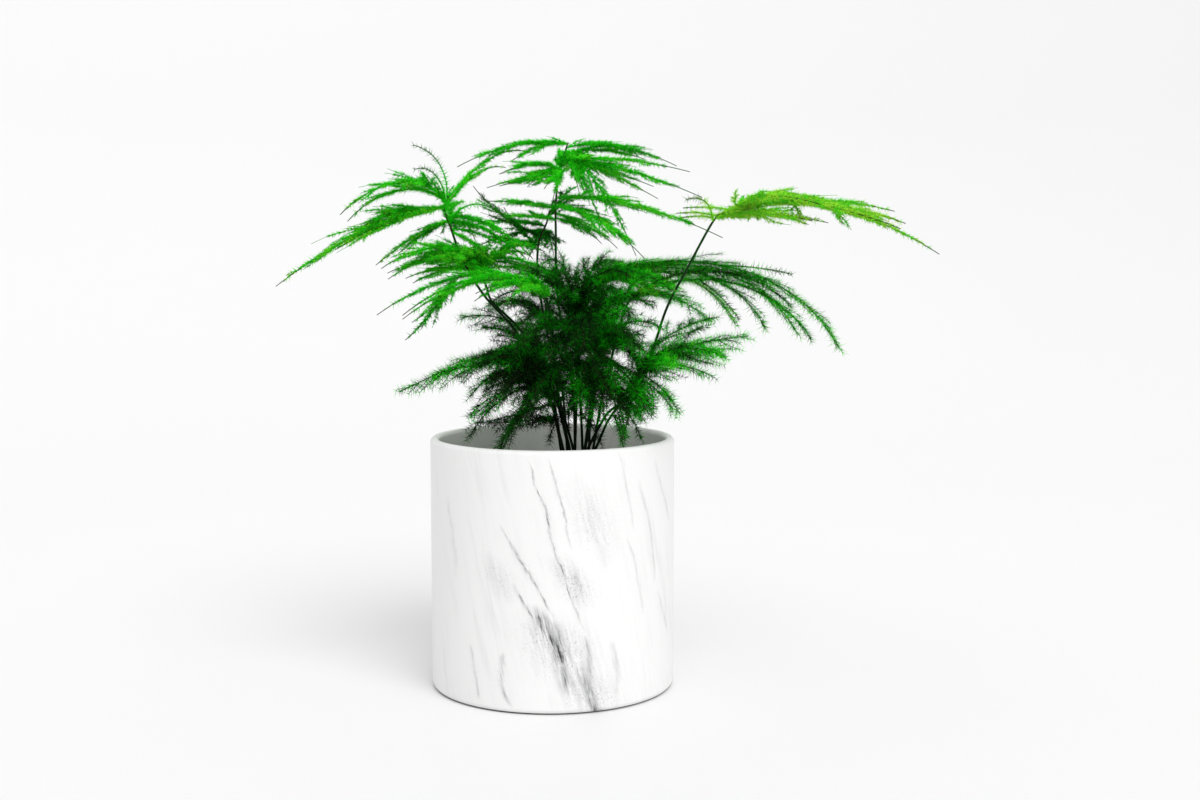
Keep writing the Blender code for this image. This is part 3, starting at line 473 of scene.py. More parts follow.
# Side twigs of a stack of lines, left and right in turn. Each starts at twigOpen from its parent, closes to
# twigClose and droops: the sum of small steps cos(a)*along + sin(a)*across - droop*v.
def sideTwigs(lines, lengths, spreads, every, count, ends, look, random):
    numbers = np.where(spreads > 0, np.maximum(1, np.round(lengths / every)), 0).astype(int)
    which = np.repeat(np.arange(len(lines)), numbers)
    k = np.arange(numbers.sum()) - np.repeat(np.cumsum(numbers) - numbers, numbers)
    u = ((k + 0.5 + random.uniform(-0.3, 0.3, len(k))) / numbers[which]) ** 1.12 * ends
    root, along = pointsOn(lines, which, u)
    side = np.where(k % 2 == 0, 1.0, -1.0)[:, None]
    across = unit(np.cross([0.0, 0.0, 1.0], along)) * side
    tilt = np.radians(random.normal(0.0, look["twigTilt"], len(k)))[:, None]
    across = np.cos(tilt) * across + np.sin(tilt) * np.cross(along, across)
    reach = np.minimum(1.25, 0.69 + 1.875 * u) * (1.0 - u) ** look["twigTaper"]
    length = np.maximum(spreads[which] * reach * random.uniform(*look["twigShares"], len(k)), look["shortestTwig"])
    v = ((np.arange(count - 1) + 0.5) / (count - 1))[None, :, None]
    a = look["twigOpen"] + (look["twigClose"] - look["twigOpen"]) * v
    a = np.radians(a + random.normal(0.0, 6.0, (len(k), 1, 1)))
    step = np.cos(a) * along[:, None] + np.sin(a) * across[:, None]
    step[:, :, 2] -= look["twigDroop"] * v[:, :, 0]
    step += random.normal(0.0, 0.05, step.shape)
    step *= (length / (count - 1))[:, None, None]
    made = root[:, None] + np.concatenate([np.zeros((len(k), 1, 3)), np.cumsum(step, axis=1)], axis=1)
    made, share = drawnIn(made, 0.5)
    kept = clearOfPot(made, 1.0).all(axis=1) & (share > 0.3)
    return made[kept], (length * share)[kept], u[kept], which[kept]


# Needles on a stack of lines, in whorls. A needle leaves its line at a lean that closes towards the tip, in the
# direction cos(lean)*along + sin(lean)*(cos(t)*up*flat + sin(t)*aside), and is a three-sided spike: three points
# round its root and one at its tip.
def needlesOn(lines, lengths, size, every, end, look, random, start):
    numbers = np.maximum(2, np.round(lengths / every)).astype(int)
    whorl = np.repeat(np.arange(len(lines)), numbers)
    k = np.arange(numbers.sum()) - np.repeat(np.cumsum(numbers) - numbers, numbers)
    perWhorl = look["perWhorl"]
    f = np.clip((k + 0.7 + random.uniform(-0.25, 0.25, len(k))) / numbers[whorl], 0.0, 1.0)
    place, along = pointsOn(lines, whorl, f)
    aside = unit(np.cross(along, [0.0, 0.0, 1.0]))
    up = np.cross(aside, along)
    turn = k * 2.4 + random.uniform(0, 6.28, len(lines))[whorl]
    t = turn[:, None] + np.arange(perWhorl) * 2 * np.pi / perWhorl + random.normal(0.0, 0.35, (len(k), perWhorl))
    lean = look["needleOpen"] + (look["needleClosed"] - look["needleOpen"]) * f ** 2
    lean = np.radians(lean[:, None] + random.normal(0.0, 9.0, t.shape))[..., None]
    away = np.cos(t)[..., None] * up[:, None] * look["flat"] + np.sin(t)[..., None] * aside[:, None]
    direction = unit(np.cos(lean) * along[:, None] + np.sin(lean) * away)
    reach = size * random.uniform(0.62, 1.08, t.shape) * (1.0 - look["needleTaper"] * f ** 2)[:, None]
    place = np.broadcast_to(place[:, None], direction.shape)
    tip = place + direction * reach[..., None]
    kept = ((tip > cadLow) & (tip < cadHigh)).all(axis=-1) & clearOfPot(tip, 0.3) & (f < end)[:, None]
    place, direction, tip = place[kept], direction[kept], tip[kept]
    first = unit(np.cross(direction, [0.31, 0.17, 0.93]))
    second = np.cross(direction, first)
    b = np.arange(3) * 2 * np.pi / 3
    base = np.cos(b)[:, None] * first[:, None] + np.sin(b)[:, None] * second[:, None]
    points = np.concatenate([place[:, None] + look["needleRadius"] * base, tip[:, None]], axis=1).reshape(-1, 3)
    corners = np.array([[0, 1, 3], [1, 2, 3], [2, 0, 3], [0, 2, 1]])
    faces = (np.arange(len(tip))[:, None, None] * 4 + corners).reshape(-1, 3) + start
    return points, faces, np.broadcast_to(whorl[:, None], t.shape)[kept], np.broadcast_to(f[:, None], t.shape)[kept]


# The plant

plant = {
    "crownX": 14.0,  # the clump stands right of the pot's middle
    "holeFoot": 96.0,
    "leanFrom": 119.0,
    "stemRadius": (0.85, 0.65, 0.5),  # at the foot, where the plume starts, and at its top
    "stemSides": 10,
    "sprayRadius": (0.5, 0.22),
    "twigRadius": (0.26, 0.14),
}

looks = {
    "fan": {  # flat bands with short needles, whose twigs point forwards and end in thin olive tips
        "twigEvery": 3.1, "twigGrow": 1.85, "twigTaper": 1.0, "twigShares": (0.5, 1.15), "twigOpen": 33,
        "twigClose": 4, "twigTilt": 14, "twigDroop": 0.10, "shortestTwig": 3.0, "subFrom": 10.0, "subEvery": 3.5,
        "subShare": 0.32, "whorlEvery": 1.75, "perWhorl": 4, "needleOpen": 58, "needleClosed": 24,
        "needleTaper": 0.75, "needleRadius": 0.25, "needleShare": 0.86, "flat": 0.9, "bareTip": 0.64,
        "needleEnd": 0.74, "axisShare": 0.8, "lowest": 0.01, "besideAt": 0.03,
        "own": 0.05, "twigOwn": 0.04, "needleOwn": 0.08, "lightest": 0.08,
        "rootWood": 0.15, "innerWood": 0.35, "paintedRootShadeTipLight": 0.08,
        "darkShare": 0.3, "darker": 0.17},
    "brush": {  # airy twigs with long needles that stand out all round
        "twigEvery": 4.4, "twigGrow": 1.6, "twigTaper": 0.55, "twigShares": (0.6, 1.12), "twigOpen": 48,
        "twigClose": 14, "twigTilt": 32, "twigDroop": 0.3, "shortestTwig": 5.0, "subFrom": 99.0, "subEvery": 5.0,
        "subShare": 0.3, "whorlEvery": 1.55, "perWhorl": 4, "needleOpen": 74, "needleClosed": 50,
        "needleTaper": 0.2, "needleRadius": 0.17, "needleShare": 1.12, "flat": 1.0, "bareTip": 0.97,
        "needleEnd": 1.0, "axisShare": 0.6, "lowest": -0.1, "besideAt": 0.12,
        "own": 0.10, "twigOwn": 0.10, "needleOwn": 0.12, "lightest": 0.2,
        "rootWood": 0.6, "innerWood": 1.0, "paintedRootShadeTipLight": 0.13,
        "darkShare": 0.3, "darker": 0.08},
    "shoot": {  # single thin shoots without twigs
        "whorlEvery": 1.9, "perWhorl": 4, "needleOpen": 72, "needleClosed": 52, "needleTaper": 0.3,
        "needleRadius": 0.27, "needleShare": 1.05, "flat": 1.0, "bareTip": 0.5, "needleEnd": 1.0},
}
# bands of long needles, seen from their edge
looks["level"] = {**looks["brush"], "twigTilt": 9, "twigDroop": 0.08, "twigOpen": 42, "flat": 0.6,
                  "besideAt": 0.02}

paintedBushShade = {  # painted shade: needles are darker towards the middle of the dense lower part, standing in for the shade deep in the bush
    "middle": (14.0, 0.0, 180.0),
    "size": (74.0, 98.0, 56.0),
    "shade": 0.25,
}


def stemMaterial():
    material, tree, shader = newMaterial("wiryStem", 0.42)
    shader.inputs["Specular IOR Level"].default_value = 0.05
    place = addNode(tree, "TexCoord").outputs["Object"]
    streaks = noise(tree, place, 420, 4, 0.6, (1.0, 1.0, 0.12))
    dark = ramp(tree, streaks, [(0.30, (0.002, 0.006, 0.002)), (0.62, (0.006, 0.020, 0.005)),
                                (0.85, (0.030, 0.045, 0.012))])
    parts = addNode(tree, "SeparateXYZ")
    feed(tree, parts.inputs[0], place)
    upper = maths(tree, "MULTIPLY_ADD", parts.outputs["Z"], 10.0, -1.9, clamp=True)
    colour = mix(tree, upper, dark, (0.008, 0.060, 0.006))
    tree.links.new(colour, shader.inputs["Base Color"])
    bump(tree, shader, streaks, 0.05, 0.6)
    return material


def plumeMaterial():
    material, tree, shader = newMaterial("fernNeedles", 0.6)
    shader.inputs["Specular IOR Level"].default_value = 0.05
    place = addNode(tree, "TexCoord").outputs["Object"]
    tint = addNode(tree, "Attribute", attribute_name="tint").outputs["Fac"]
    wood = addNode(tree, "Attribute", attribute_name="wood").outputs["Fac"]
    mottle = maths(tree, "MULTIPLY_ADD", noise(tree, place, 90, 3), 0.16, -0.08)
    leaf = ramp(tree, maths(tree, "ADD", tint, mottle), [
        (0.0, (0.0003, 0.003, 0.0004)), (0.2, (0.001, 0.045, 0.001)), (0.4, (0.004, 0.28, 0.002)),
        (0.55, (0.012, 0.74, 0.006)), (0.72, (0.060, 0.80, 0.015)), (0.86, (0.25, 0.82, 0.030)),
        (1.0, (0.46, 0.85, 0.050))])
    bark = ramp(tree, noise(tree, place, 240, 3), [(0.3, (0.006, 0.018, 0.004)), (0.7, (0.035, 0.055, 0.014))])
    tree.links.new(mix(tree, wood, leaf, bark), shader.inputs["Base Color"])
    return material


# The sprays of a frond's table, each with companions like it, turned, raised and shortened by a seeded draw.
def frondSprays(frond, trunk, look, random):
    lines, found = {"trunk": evenLine(trunk, 64)}, []
    for key, parent, at, heading, turn, rise, fall, late, length, spread in frond["arms"]:
        def grown(at, heading, rise, fall, length):
            root = pointsOn(lines[parent][None], np.array([0]), np.array([at]))[0][0]
            return sprayLine(root, heading, turn, rise, fall, late, length, 65)

        line, kept = drawnIn(grown(at, heading, rise, fall, length)[None], 0.6)
        lines[key] = line[0]
        found.append((line[0], length * kept[0], spread))
        count, turning, raising = frond["beside"]
        for _ in range(count if spread else 0):
            sideways, upwards, share, down = random.uniform((-turning, -raising, 0.55, 0), (turning, raising, 0.95, 1))
            lowest = frond["bare"] + look["lowest"] if parent == "trunk" else 0.03
            line = grown(max(lowest, at - down * look["besideAt"]), heading + sideways, rise + upwards,
                         fall + upwards, length * share)
            line, kept = drawnIn(line[None], 0.6)
            if kept[0] > 0.5 and clearOfPot(line, 1.0).all():
                found.append((line[0], length * share * kept[0], spread * 0.9))
    sprays, lengths, spreads = zip(*found)
    return np.stack(sprays), np.array(lengths, float), np.array(spreads, float) * look["twigGrow"]


def makeFrond(index, name, frond, stemLook, leafLook):
    random = np.random.default_rng(index)
    look = looks[frond["look"]]
    trunk = trunkLine(frond)
    joint = int(frond["bare"] * (len(trunk) - 1))
    foot, top = trunk[:joint + 2], trunk[joint:]
    radii = plant["stemRadius"]

    # The bare stem
    line = evenLine(foot, len(foot) // 3)[None]
    taper = np.linspace(radii[0], radii[1], line.shape[1])[None]
    points, faces = tubes(line, taper, plant["stemSides"])
    makePiece("bareStem_" + name, points, faces, stemLook, "stem_" + name)

    # The plume: the stem's upper end, sprays, side twigs and their own short twigs, all with needles
    sprays, lengths, spreads = frondSprays(frond, trunk, look, random)
    twigs, twigLengths, u, which = sideTwigs(sprays, lengths, spreads, look["twigEvery"], 5, frond["leafy"], look,
                                             random)
    long = twigLengths > look["subFrom"]
    subs, subLengths, _, subWhich = sideTwigs(twigs[long], twigLengths[long], twigLengths[long] * look["subShare"],
                                              look["subEvery"], 2, look["needleEnd"], look, random)
    parts, faceSets, tint, wood = [], [], [], []

    def add(points, faces, tints, woods):
        parts.append(points)
        faceSets.extend(faces)
        tint.append(tints)
        wood.append(woods)

    def soFar():
        return sum(len(part) for part in parts)

    stemTop = evenLine(top, max(4, len(top) // 3))[None]
    ofSpray = np.ones(len(sprays))
    ofTwigs = look["innerWood"] + (1.0 - look["innerWood"]) * u  # how far a twig's place lets its tip turn olive
    ofSubs = ofTwigs[long][subWhich]
    stacks = ((stemTop, radii[1:], 8, 1.0), (sprays[:, ::4], plant["sprayRadius"], 5, ofSpray),
              (twigs, plant["twigRadius"], 3, ofTwigs), (subs, plant["twigRadius"], 3, ofSubs))
    for stack, (thick, thin), sides, outer in stacks:
        taper = np.broadcast_to(np.linspace(thick, thin, stack.shape[1]), stack.shape[:2])
        points, faces = tubes(stack, taper, sides, soFar())
        greenToWood = 1.0 if stack is stemTop else np.linspace(look["rootWood"], 1.0, stack.shape[1]) * outer[:, None]
        woods = np.repeat(np.broadcast_to(greenToWood, stack.shape[:2]).ravel(), sides)
        add(points, faces, np.full(len(points), frond["tint"] - 0.08), woods)
    own = np.minimum(random.normal(0.0, look["own"], len(sprays)), 0.10)
    ofTwig = own[which] + random.normal(0.0, look["twigOwn"], len(twigs)) + frond["tipTint"] * u ** 2
    ofTwig = ofTwig - look["darker"] * (random.random(len(twigs)) < look["darkShare"])
    leafy = spreads > 0
    size = frond["needle"]
    end = look["needleEnd"]
    sets = [(sprays[leafy], lengths[leafy], own[leafy], ofSpray, 1.0, look["axisShare"], frond["leafy"] + 0.04, look),
            (twigs, twigLengths, ofTwig, ofTwigs, 1.0, 1.0, end, look),
            (subs, subLengths, ofTwig[long][subWhich], ofSubs, 0.9, 1.12, end, look)]
    if not leafy.all():
        sets.append((sprays[~leafy], lengths[~leafy], own[~leafy], ofSpray, 1.0, 1.0, 1.0, looks["shoot"]))
    for stack, far, shadeOf, outer, share, apart, end, needles in sets:
        share = share * needles["needleShare"]
        every = needles["whorlEvery"] * apart
        points, faces, owner, f = needlesOn(stack, far, size * share, every, end, needles, random, soFar())
        shade = frond["tint"] + shadeOf[owner] + 0.06 * f + random.normal(0.0, look["needleOwn"], len(owner))
        shade = np.minimum(shade, frond["tint"] + frond["tipTint"] + look["lightest"])
        # painted shade: outside the fans, needles near the bush's middle are darkened as if deep in shade
        if frond["look"] != "fan":
            fromMiddle = np.linalg.norm((points[::4] - paintedBushShade["middle"]) / paintedBushShade["size"], axis=1)
            shade = shade - paintedBushShade["shade"] * np.clip(1.15 - fromMiddle, 0.0, 1.0)
        olive = np.clip((f - needles["bareTip"]) / 0.25, 0.0, 0.75) * outer[owner]
        # painted shade and light: each needle is darker at its three root points, where it meets its twig, and lighter
        # at its tip
        paintedRootToTip = np.tile(np.array([-1, -1, -1, 1]) * look["paintedRootShadeTipLight"], len(owner))
        add(points, [faces], np.repeat(shade, 4) + paintedRootToTip, np.repeat(olive, 4))
    makePiece("greenPlume_" + name, np.vstack(parts), faceSets, leafLook, "plume_" + name,
              {"tint": np.concatenate(tint), "wood": np.concatenate(wood)})


def makePlant():
    stemLook, leafLook = stemMaterial(), plumeMaterial()
    for index, (name, frond) in enumerate(fronds.items()):
        makeFrond(index, name, frond, stemLook, leafLook)


# The pot

pot = {
    "radius": 70.0,
    "height": 144.0,
    "wall": 5.0,
    "floor": 6.0,
    "footRound": 3.5,
    "insideRound": 3.0,
    "sides": 200,
    "slant": 0.24,
    "glaze": (0.785, 0.785, 0.783),
    "paintedLightInsideGlaze": (0.95, 0.97, 0.93),
    "faintVein": (0.43, 0.43, 0.435),
    "greyVein": (0.20, 0.20, 0.205),
    "darkVein": (0.035, 0.035, 0.04),
    "paintedFootShadow": (0.05, 0.05, 0.05),
    "paintedFootShadowHeight": 1.1,
}

# Veins in the glaze, each as (u, z) points: millimetres round the wall from the middle of the front, and height.
# width is the half width of the line, dark how grey it is, and core and haze how strong its line and its wider halo
# are.
veins = [
    {"route": ((-13, 141), (-10, 136), (-6, 123), (-2, 113), (1, 102), (4, 89), (8, 78), (11, 68), (15, 56), (19, 45)),
     "width": 0.55, "dark": 0.75},
    {"route": ((0, 141), (5, 124), (8, 111), (11, 100), (14, 90)), "width": 0.5, "dark": 0.5},
    {"route": ((-28, 104), (-22, 95), (-17, 86), (-12, 78), (-4, 64), (2, 53)), "width": 0.8, "dark": 0.75},
    {"route": ((-20, 73), (-15, 63), (-8, 53), (-1, 45), (4, 38), (8, 29), (9, 20), (12, 10)), "width": 0.9,
     "dark": 0.7},
    {"route": ((-11, 62), (-4, 54), (2, 47), (6, 37), (9, 24), (10, 10)), "width": 4.2, "dark": 0.6, "haze": 0.85},
    {"route": ((-8, 58), (-3, 49), (1, 42), (5, 34), (7, 26)), "width": 2.9, "dark": 1.0, "haze": 0.7},
    {"route": ((2, 92), (10, 78), (17, 66), (22, 54)), "width": 1.8, "dark": 0.9, "core": 0.0, "haze": 0.9},
    {"route": ((18, 44), (21, 34), (23, 21), (26, -4)), "width": 1.5, "dark": 0.6},
    {"route": ((15, 30), (20, 16), (24, 6), (30, -8)), "width": 3.4, "dark": 0.75, "haze": 0.8},
    {"route": ((-46, 36), (-43, 20), (-41, 5)), "width": 0.9, "dark": 0.4},
    {"route": ((-26, 34), (-25, 17), (-20, 3)), "width": 1.3, "dark": 0.55},
    {"route": ((52, 127), (58, 113), (64, 99), (66, 84), (68, 66)), "width": 1.0, "dark": 0.3},
    {"route": ((67, 136), (76, 118), (83, 107), (88, 97)), "width": 1.3, "dark": 0.3},
    {"route": ((72, 62), (78, 47), (84, 36)), "width": 1.2, "dark": 0.3},
    {"route": ((38, 144), (45, 120), (50, 98)), "width": 0.9, "dark": 0.22},
    {"route": ((44, 96), (52, 74), (57, 50)), "width": 0.9, "dark": 0.25},
    {"route": ((-66, 118), (-62, 96), (-58, 70)), "width": 1.4, "dark": 0.22},
    {"route": ((14, 134), (21, 116), (29, 92), (33, 76)), "width": 2.6, "dark": 0.4, "core": 0.2, "haze": 0.8},
    {"route": ((-34, 90), (-26, 72), (-20, 58)), "width": 2.2, "dark": 0.4, "core": 0.2, "haze": 0.7},
    {"route": ((35, 40), (38, 23), (39, 8)), "width": 1.6, "dark": 0.32},
    # out of the photo's view
    {"route": ((-152, 138), (-145, 116), (-139, 97), (-128, 72), (-121, 50)), "width": 0.8, "dark": 0.6},
    {"route": ((-134, 66), (-126, 48), (-118, 30), (-114, 8)), "width": 2.6, "dark": 0.8, "haze": 0.6},
    {"route": ((-192, 112), (-184, 88), (-178, 70)), "width": 1.0, "dark": 0.4},
    {"route": ((112, 141), (119, 118), (128, 92), (133, 74)), "width": 0.9, "dark": 0.5},
    {"route": ((150, 92), (160, 68), (171, 40), (176, 14)), "width": 1.4, "dark": 0.7, "haze": 0.5},
    {"route": ((186, 136), (192, 116), (199, 98)), "width": 0.8, "dark": 0.4},
]


def veinMask(tree, u, z, vein):
    # dark*(exp(-(distance/width)^2) + haze*exp(-(distance/(4*width))^2)), with the vein's place at each height read
    # from a curve, and nothing beyond its two ends
    route = sorted((height, place) for place, height in vein["route"])
    low, high = route[0][0], route[-1][0]
    reach = math.pi * pot["radius"]
    places = [((height - low) / (high - low), 0.5 + place / (2 * reach)) for height, place in route]
    curve = addNode(tree, "FloatCurve")
    spine = curve.mapping.curves[0]
    spine.points[0].location, spine.points[-1].location = places[0], places[-1]
    for x, y in places[1:-1]:
        spine.points.new(x, y)
    curve.mapping.update()
    share = maths(tree, "MULTIPLY_ADD", z, 1 / (high - low), -low / (high - low))
    feed(tree, curve.inputs["Value"], share)
    place = maths(tree, "MULTIPLY_ADD", curve.outputs[0], 2 * reach, -reach)
    away = maths(tree, "DIVIDE", maths(tree, "SUBTRACT", u, place), vein["width"])
    square = maths(tree, "MULTIPLY", maths(tree, "MULTIPLY", away, away), -1.0)
    line = maths(tree, "EXPONENT", square)
    halo = maths(tree, "EXPONENT", maths(tree, "MULTIPLY", square, 1 / 16))
    between = maths(tree, "MULTIPLY", share, maths(tree, "SUBTRACT", 1.0, share))
    ends = maths(tree, "MULTIPLY", between, 9.0, clamp=True)
    soft = maths(tree, "MULTIPLY", between, 4.0, clamp=True)
    soft = maths(tree, "MULTIPLY", soft, soft)
    core = maths(tree, "MULTIPLY", maths(tree, "MULTIPLY", line, ends), vein["dark"] * vein.get("core", 1.0))
    haze = maths(tree, "MULTIPLY", maths(tree, "MULTIPLY", halo, soft), vein["dark"] * vein.get("haze", 0.3))
    return core, haze


def potMaterial():
    material, tree, shader = newMaterial("marbledGlaze", 0.36)
    place = addNode(tree, "TexCoord").outputs["Object"]
    parts = addNode(tree, "SeparateXYZ")
    feed(tree, parts.inputs[0], place)
    around = maths(tree, "ARCTAN2", parts.outputs["X"], maths(tree, "MULTIPLY", parts.outputs["Y"], -1.0))
    u = maths(tree, "MULTIPLY", around, pot["radius"])
    z = maths(tree, "MULTIPLY", parts.outputs["Z"], 1 / mm)
    # the marble runs down and to the right: flow = (u + slant*z, height), turned into a place for the noise
    flow = addNode(tree, "CombineXYZ")
    slanted = maths(tree, "MULTIPLY_ADD", z, pot["slant"] / pot["radius"], around)
    for socket, value in zip(flow.inputs, (maths(tree, "SINE", slanted), maths(tree, "COSINE", slanted),
                                           maths(tree, "MULTIPLY", z, 1 / pot["radius"]))):
        feed(tree, socket, value)
    broad = maths(tree, "MULTIPLY_ADD", noise(tree, flow.outputs[0], 3.0, 2, 0.5, (1.0, 1.0, 0.8)), 7.0, -3.5)
    fine = maths(tree, "MULTIPLY_ADD", noise(tree, flow.outputs[0], 30, 4, 0.65, (1.0, 1.0, 0.45)), 3.2, -1.6)
    bent = maths(tree, "ADD", u, maths(tree, "ADD", broad, fine))
    core = haze = None
    for vein in veins:
        line, halo = veinMask(tree, bent, z, vein)
        core = line if core is None else maths(tree, "MAXIMUM", core, line)
        haze = halo if haze is None else maths(tree, "MAXIMUM", haze, halo)
    streaks = noise(tree, flow.outputs[0], 34, 5, 0.7, (1.0, 1.0, 0.12))
    grain = noise(tree, place, 1100, 3, 0.6)
    broken = maths(tree, "MULTIPLY", core, maths(tree, "MULTIPLY_ADD", streaks, 3.4, -1.1, clamp=True))
    smear = maths(tree, "MULTIPLY", haze, maths(tree, "MULTIPLY_ADD", streaks, 4.0, -1.5, clamp=True))
    dust = maths(tree, "MULTIPLY", haze, maths(tree, "MULTIPLY_ADD", grain, 9.0, -4.9, clamp=True))
    clouds = noise(tree, flow.outputs[0], 2.6, 3, 0.55, (1.0, 1.0, 0.3))
    faint = maths(tree, "MULTIPLY_ADD", noise(tree, flow.outputs[0], 15, 4, 0.6, (1.0, 1.0, 0.10)), 4.5, -2.2, clamp=True)
    faint = maths(tree, "MULTIPLY", faint, maths(tree, "MULTIPLY_ADD", clouds, 5.0, -2.0, clamp=True))
    speck = maths(tree, "MULTIPLY_ADD", grain, 8.0, -5.3, clamp=True)
    # painted light: the glaze is lighter inside the pot, standing in for light on its shaded inner wall; the mask is 1
    # where x^2 + y^2 is less than the lip's middle radius squared
    across = maths(tree, "MULTIPLY", parts.outputs["X"], parts.outputs["X"])
    square = maths(tree, "MULTIPLY_ADD", parts.outputs["Y"], parts.outputs["Y"], across)
    middle = (pot["radius"] - pot["wall"] / 2) * mm
    inside = maths(tree, "LESS_THAN", square, middle ** 2)
    base = mix(tree, inside, pot["glaze"], pot["paintedLightInsideGlaze"])
    base = mix(tree, maths(tree, "MULTIPLY", faint, 0.22), base, pot["faintVein"])
    base = mix(tree, maths(tree, "MULTIPLY", speck, 0.22), base, pot["greyVein"])
    colour = mix(tree, maths(tree, "MULTIPLY", smear, 1.0, clamp=True), base, pot["faintVein"])
    colour = mix(tree, maths(tree, "MULTIPLY", dust, 0.9, clamp=True), colour, pot["greyVein"])
    colour = mix(tree, maths(tree, "MULTIPLY", broken, 1.1, clamp=True), colour, pot["greyVein"])
    colour = mix(tree, maths(tree, "MULTIPLY_ADD", broken, 2.4, -1.1, clamp=True), colour, pot["darkVein"])
    # painted shadow: a thin dark band in the glaze at the very foot stands in for the contact shadow under the rounded
    # foot
    low = maths(tree, "MULTIPLY_ADD", z, -1 / pot["paintedFootShadowHeight"], 1.0, clamp=True)
    colour = mix(tree, maths(tree, "MULTIPLY", low, 3.0, clamp=True), colour, pot["paintedFootShadow"])
    tree.links.new(colour, shader.inputs["Base Color"])
    bump(tree, shader, noise(tree, place, 160, 2), 0.08, 0.35)
    return material


def makePot():
    inner, lip = pot["radius"] - pot["wall"], pot["wall"] / 2
    foot, inside = pot["footRound"], pot["insideRound"]
    profile = np.vstack([
        [[pot["radius"] * 0.5, 0.0]],
        arc(pot["radius"] - foot, foot, foot, -90, 0, 8),
        [[pot["radius"], z] for z in np.linspace(foot, pot["height"] - lip, 12)[1:-1]],
        arc(pot["radius"] - lip, pot["height"] - lip, lip, 0, 180, 16),
        [[inner, z] for z in np.linspace(pot["height"] - lip, pot["floor"] + inside, 10)[1:-1]],
        arc(inner - inside, pot["floor"] + inside, inside, 0, -90, 6),
        [[inner * 0.5, pot["floor"]]],
    ])
    points, faces = turned(profile, pot["sides"])
    makePiece("marbledPot", points, faces, potMaterial(), "pot")


# The soil

soil = {
    "top": 116.0,
    "dome": 2.0,
    "domeRadius": 34.0,
    "gap": 0.3,
    "grainCount": 600,
    "grainSize": (0.7, 2.6),
}


def soilHeight(x, y, random):
    # the dome, plus many sine waves of all directions whose height is a share of their length
    r = np.hypot(x, y)
    edge = pot["radius"] - pot["wall"]
    z = soil["top"] + soil["dome"] * np.clip((edge - r) / (edge - soil["domeRadius"]), 0.0, 1.0)
    for length in np.geomspace(24.0, 1.6, 44):
        heading, phase = random.uniform(0, 2 * np.pi, 2)
        z = z + 0.022 * length ** 0.8 * np.sin((x * np.cos(heading) + y * np.sin(heading)) * 2 * np.pi / length + phase)
    return z


def soilMaterial():
    material, tree, shader = newMaterial("pottingSoil", 0.95)
    place = addNode(tree, "TexCoord").outputs["Object"]
    crumbs = noise(tree, place, 620, 5, 0.7)
    patches = noise(tree, place, 70, 3)
    dark = ramp(tree, crumbs, [(0.3, (0.010, 0.006, 0.004)), (0.55, (0.040, 0.024, 0.014)), (0.8, (0.11, 0.07, 0.04))])
    colour = mix(tree, maths(tree, "MULTIPLY", patches, 0.5), dark, (0.030, 0.019, 0.012))
    tree.links.new(colour, shader.inputs["Base Color"])
    bump(tree, shader, crumbs, 0.5, 0.9)
    return material


def makeSoil():
    random = np.random.default_rng(77)
    edge = pot["radius"] - pot["wall"] - soil["gap"]
    bottom = pot["floor"] + soil["gap"]
    rings = np.linspace(edge, 1.0, 56)
    profile = np.vstack([[[edge * 0.5, bottom]], arc(edge - 3.3, bottom + 3.3, 3.3, -90, 0, 4),
                         [[edge, z] for z in (30, 60, 90)], np.stack([rings, np.full(56, 112.0)], axis=-1)])
    points, faces = turned(profile, 120)
    upper = points[:, 2] > 111.0
    points[upper, 2] = soilHeight(points[upper, 0], points[upper, 1], random)
    # loose crumbs: octahedra with each point pushed in or out, half sunk in the surface
    count = soil["grainCount"]
    r, t = (edge - 3.5) * np.sqrt(random.random(count)), random.uniform(0, 2 * np.pi, count)
    x, y = r * np.cos(t), r * np.sin(t)
    z = soilHeight(x, y, np.random.default_rng(77))
    corners = np.array([[1, 0, 0], [0, 1, 0], [-1, 0, 0], [0, -1, 0], [0, 0, 1], [0, 0, -1]], float)
    size = random.uniform(*soil["grainSize"], (count, 1, 1)) * 0.5
    shape = corners * random.uniform(0.6, 1.3, (count, 6, 1)) * random.uniform(0.6, 1.2, (count, 1, 3))
    turnBy = random.uniform(0, 2 * np.pi, count)
    c, s = np.cos(turnBy)[:, None], np.sin(turnBy)[:, None]
    shape = np.stack([shape[:, :, 0] * c - shape[:, :, 1] * s, shape[:, :, 0] * s + shape[:, :, 1] * c,
                      shape[:, :, 2]], axis=-1)
    grains = (np.stack([x, y, z + 0.2], axis=-1)[:, None] + shape * size).reshape(-1, 3)
    sides = np.array([[0, 1, 4], [1, 2, 4], [2, 3, 4], [3, 0, 4], [1, 0, 5], [2, 1, 5], [3, 2, 5], [0, 3, 5]])
    grainFaces = (np.arange(count)[:, None, None] * 6 + sides).reshape(-1, 3) + len(points)
    makePiece("pottingSoil", np.vstack([points, grains]), [*faces, grainFaces], soilMaterial(), "soil")


# The studio: a pale floor that rises softly all round, lights and the camera

studio = {
    "flatRadius": 900.0,
    "farRadius": 4600.0,
    "farHeight": 1900.0,
    "floorNear": (0.80, 0.80, 0.80),
    "floorFar": (0.70, 0.70, 0.70),
    "world": 0.82,
    "sunPower": 1.8,
    "sunSoftness": 40.0,  # degrees across
    "sunFrom": (25.0, 46.0),  # degrees to the right of the camera, and above level
}

view = {
    "place": (0.0274, -0.890, 0.249),
    "down": 5.41,  # degrees below level
    "lens": 46.65,
}


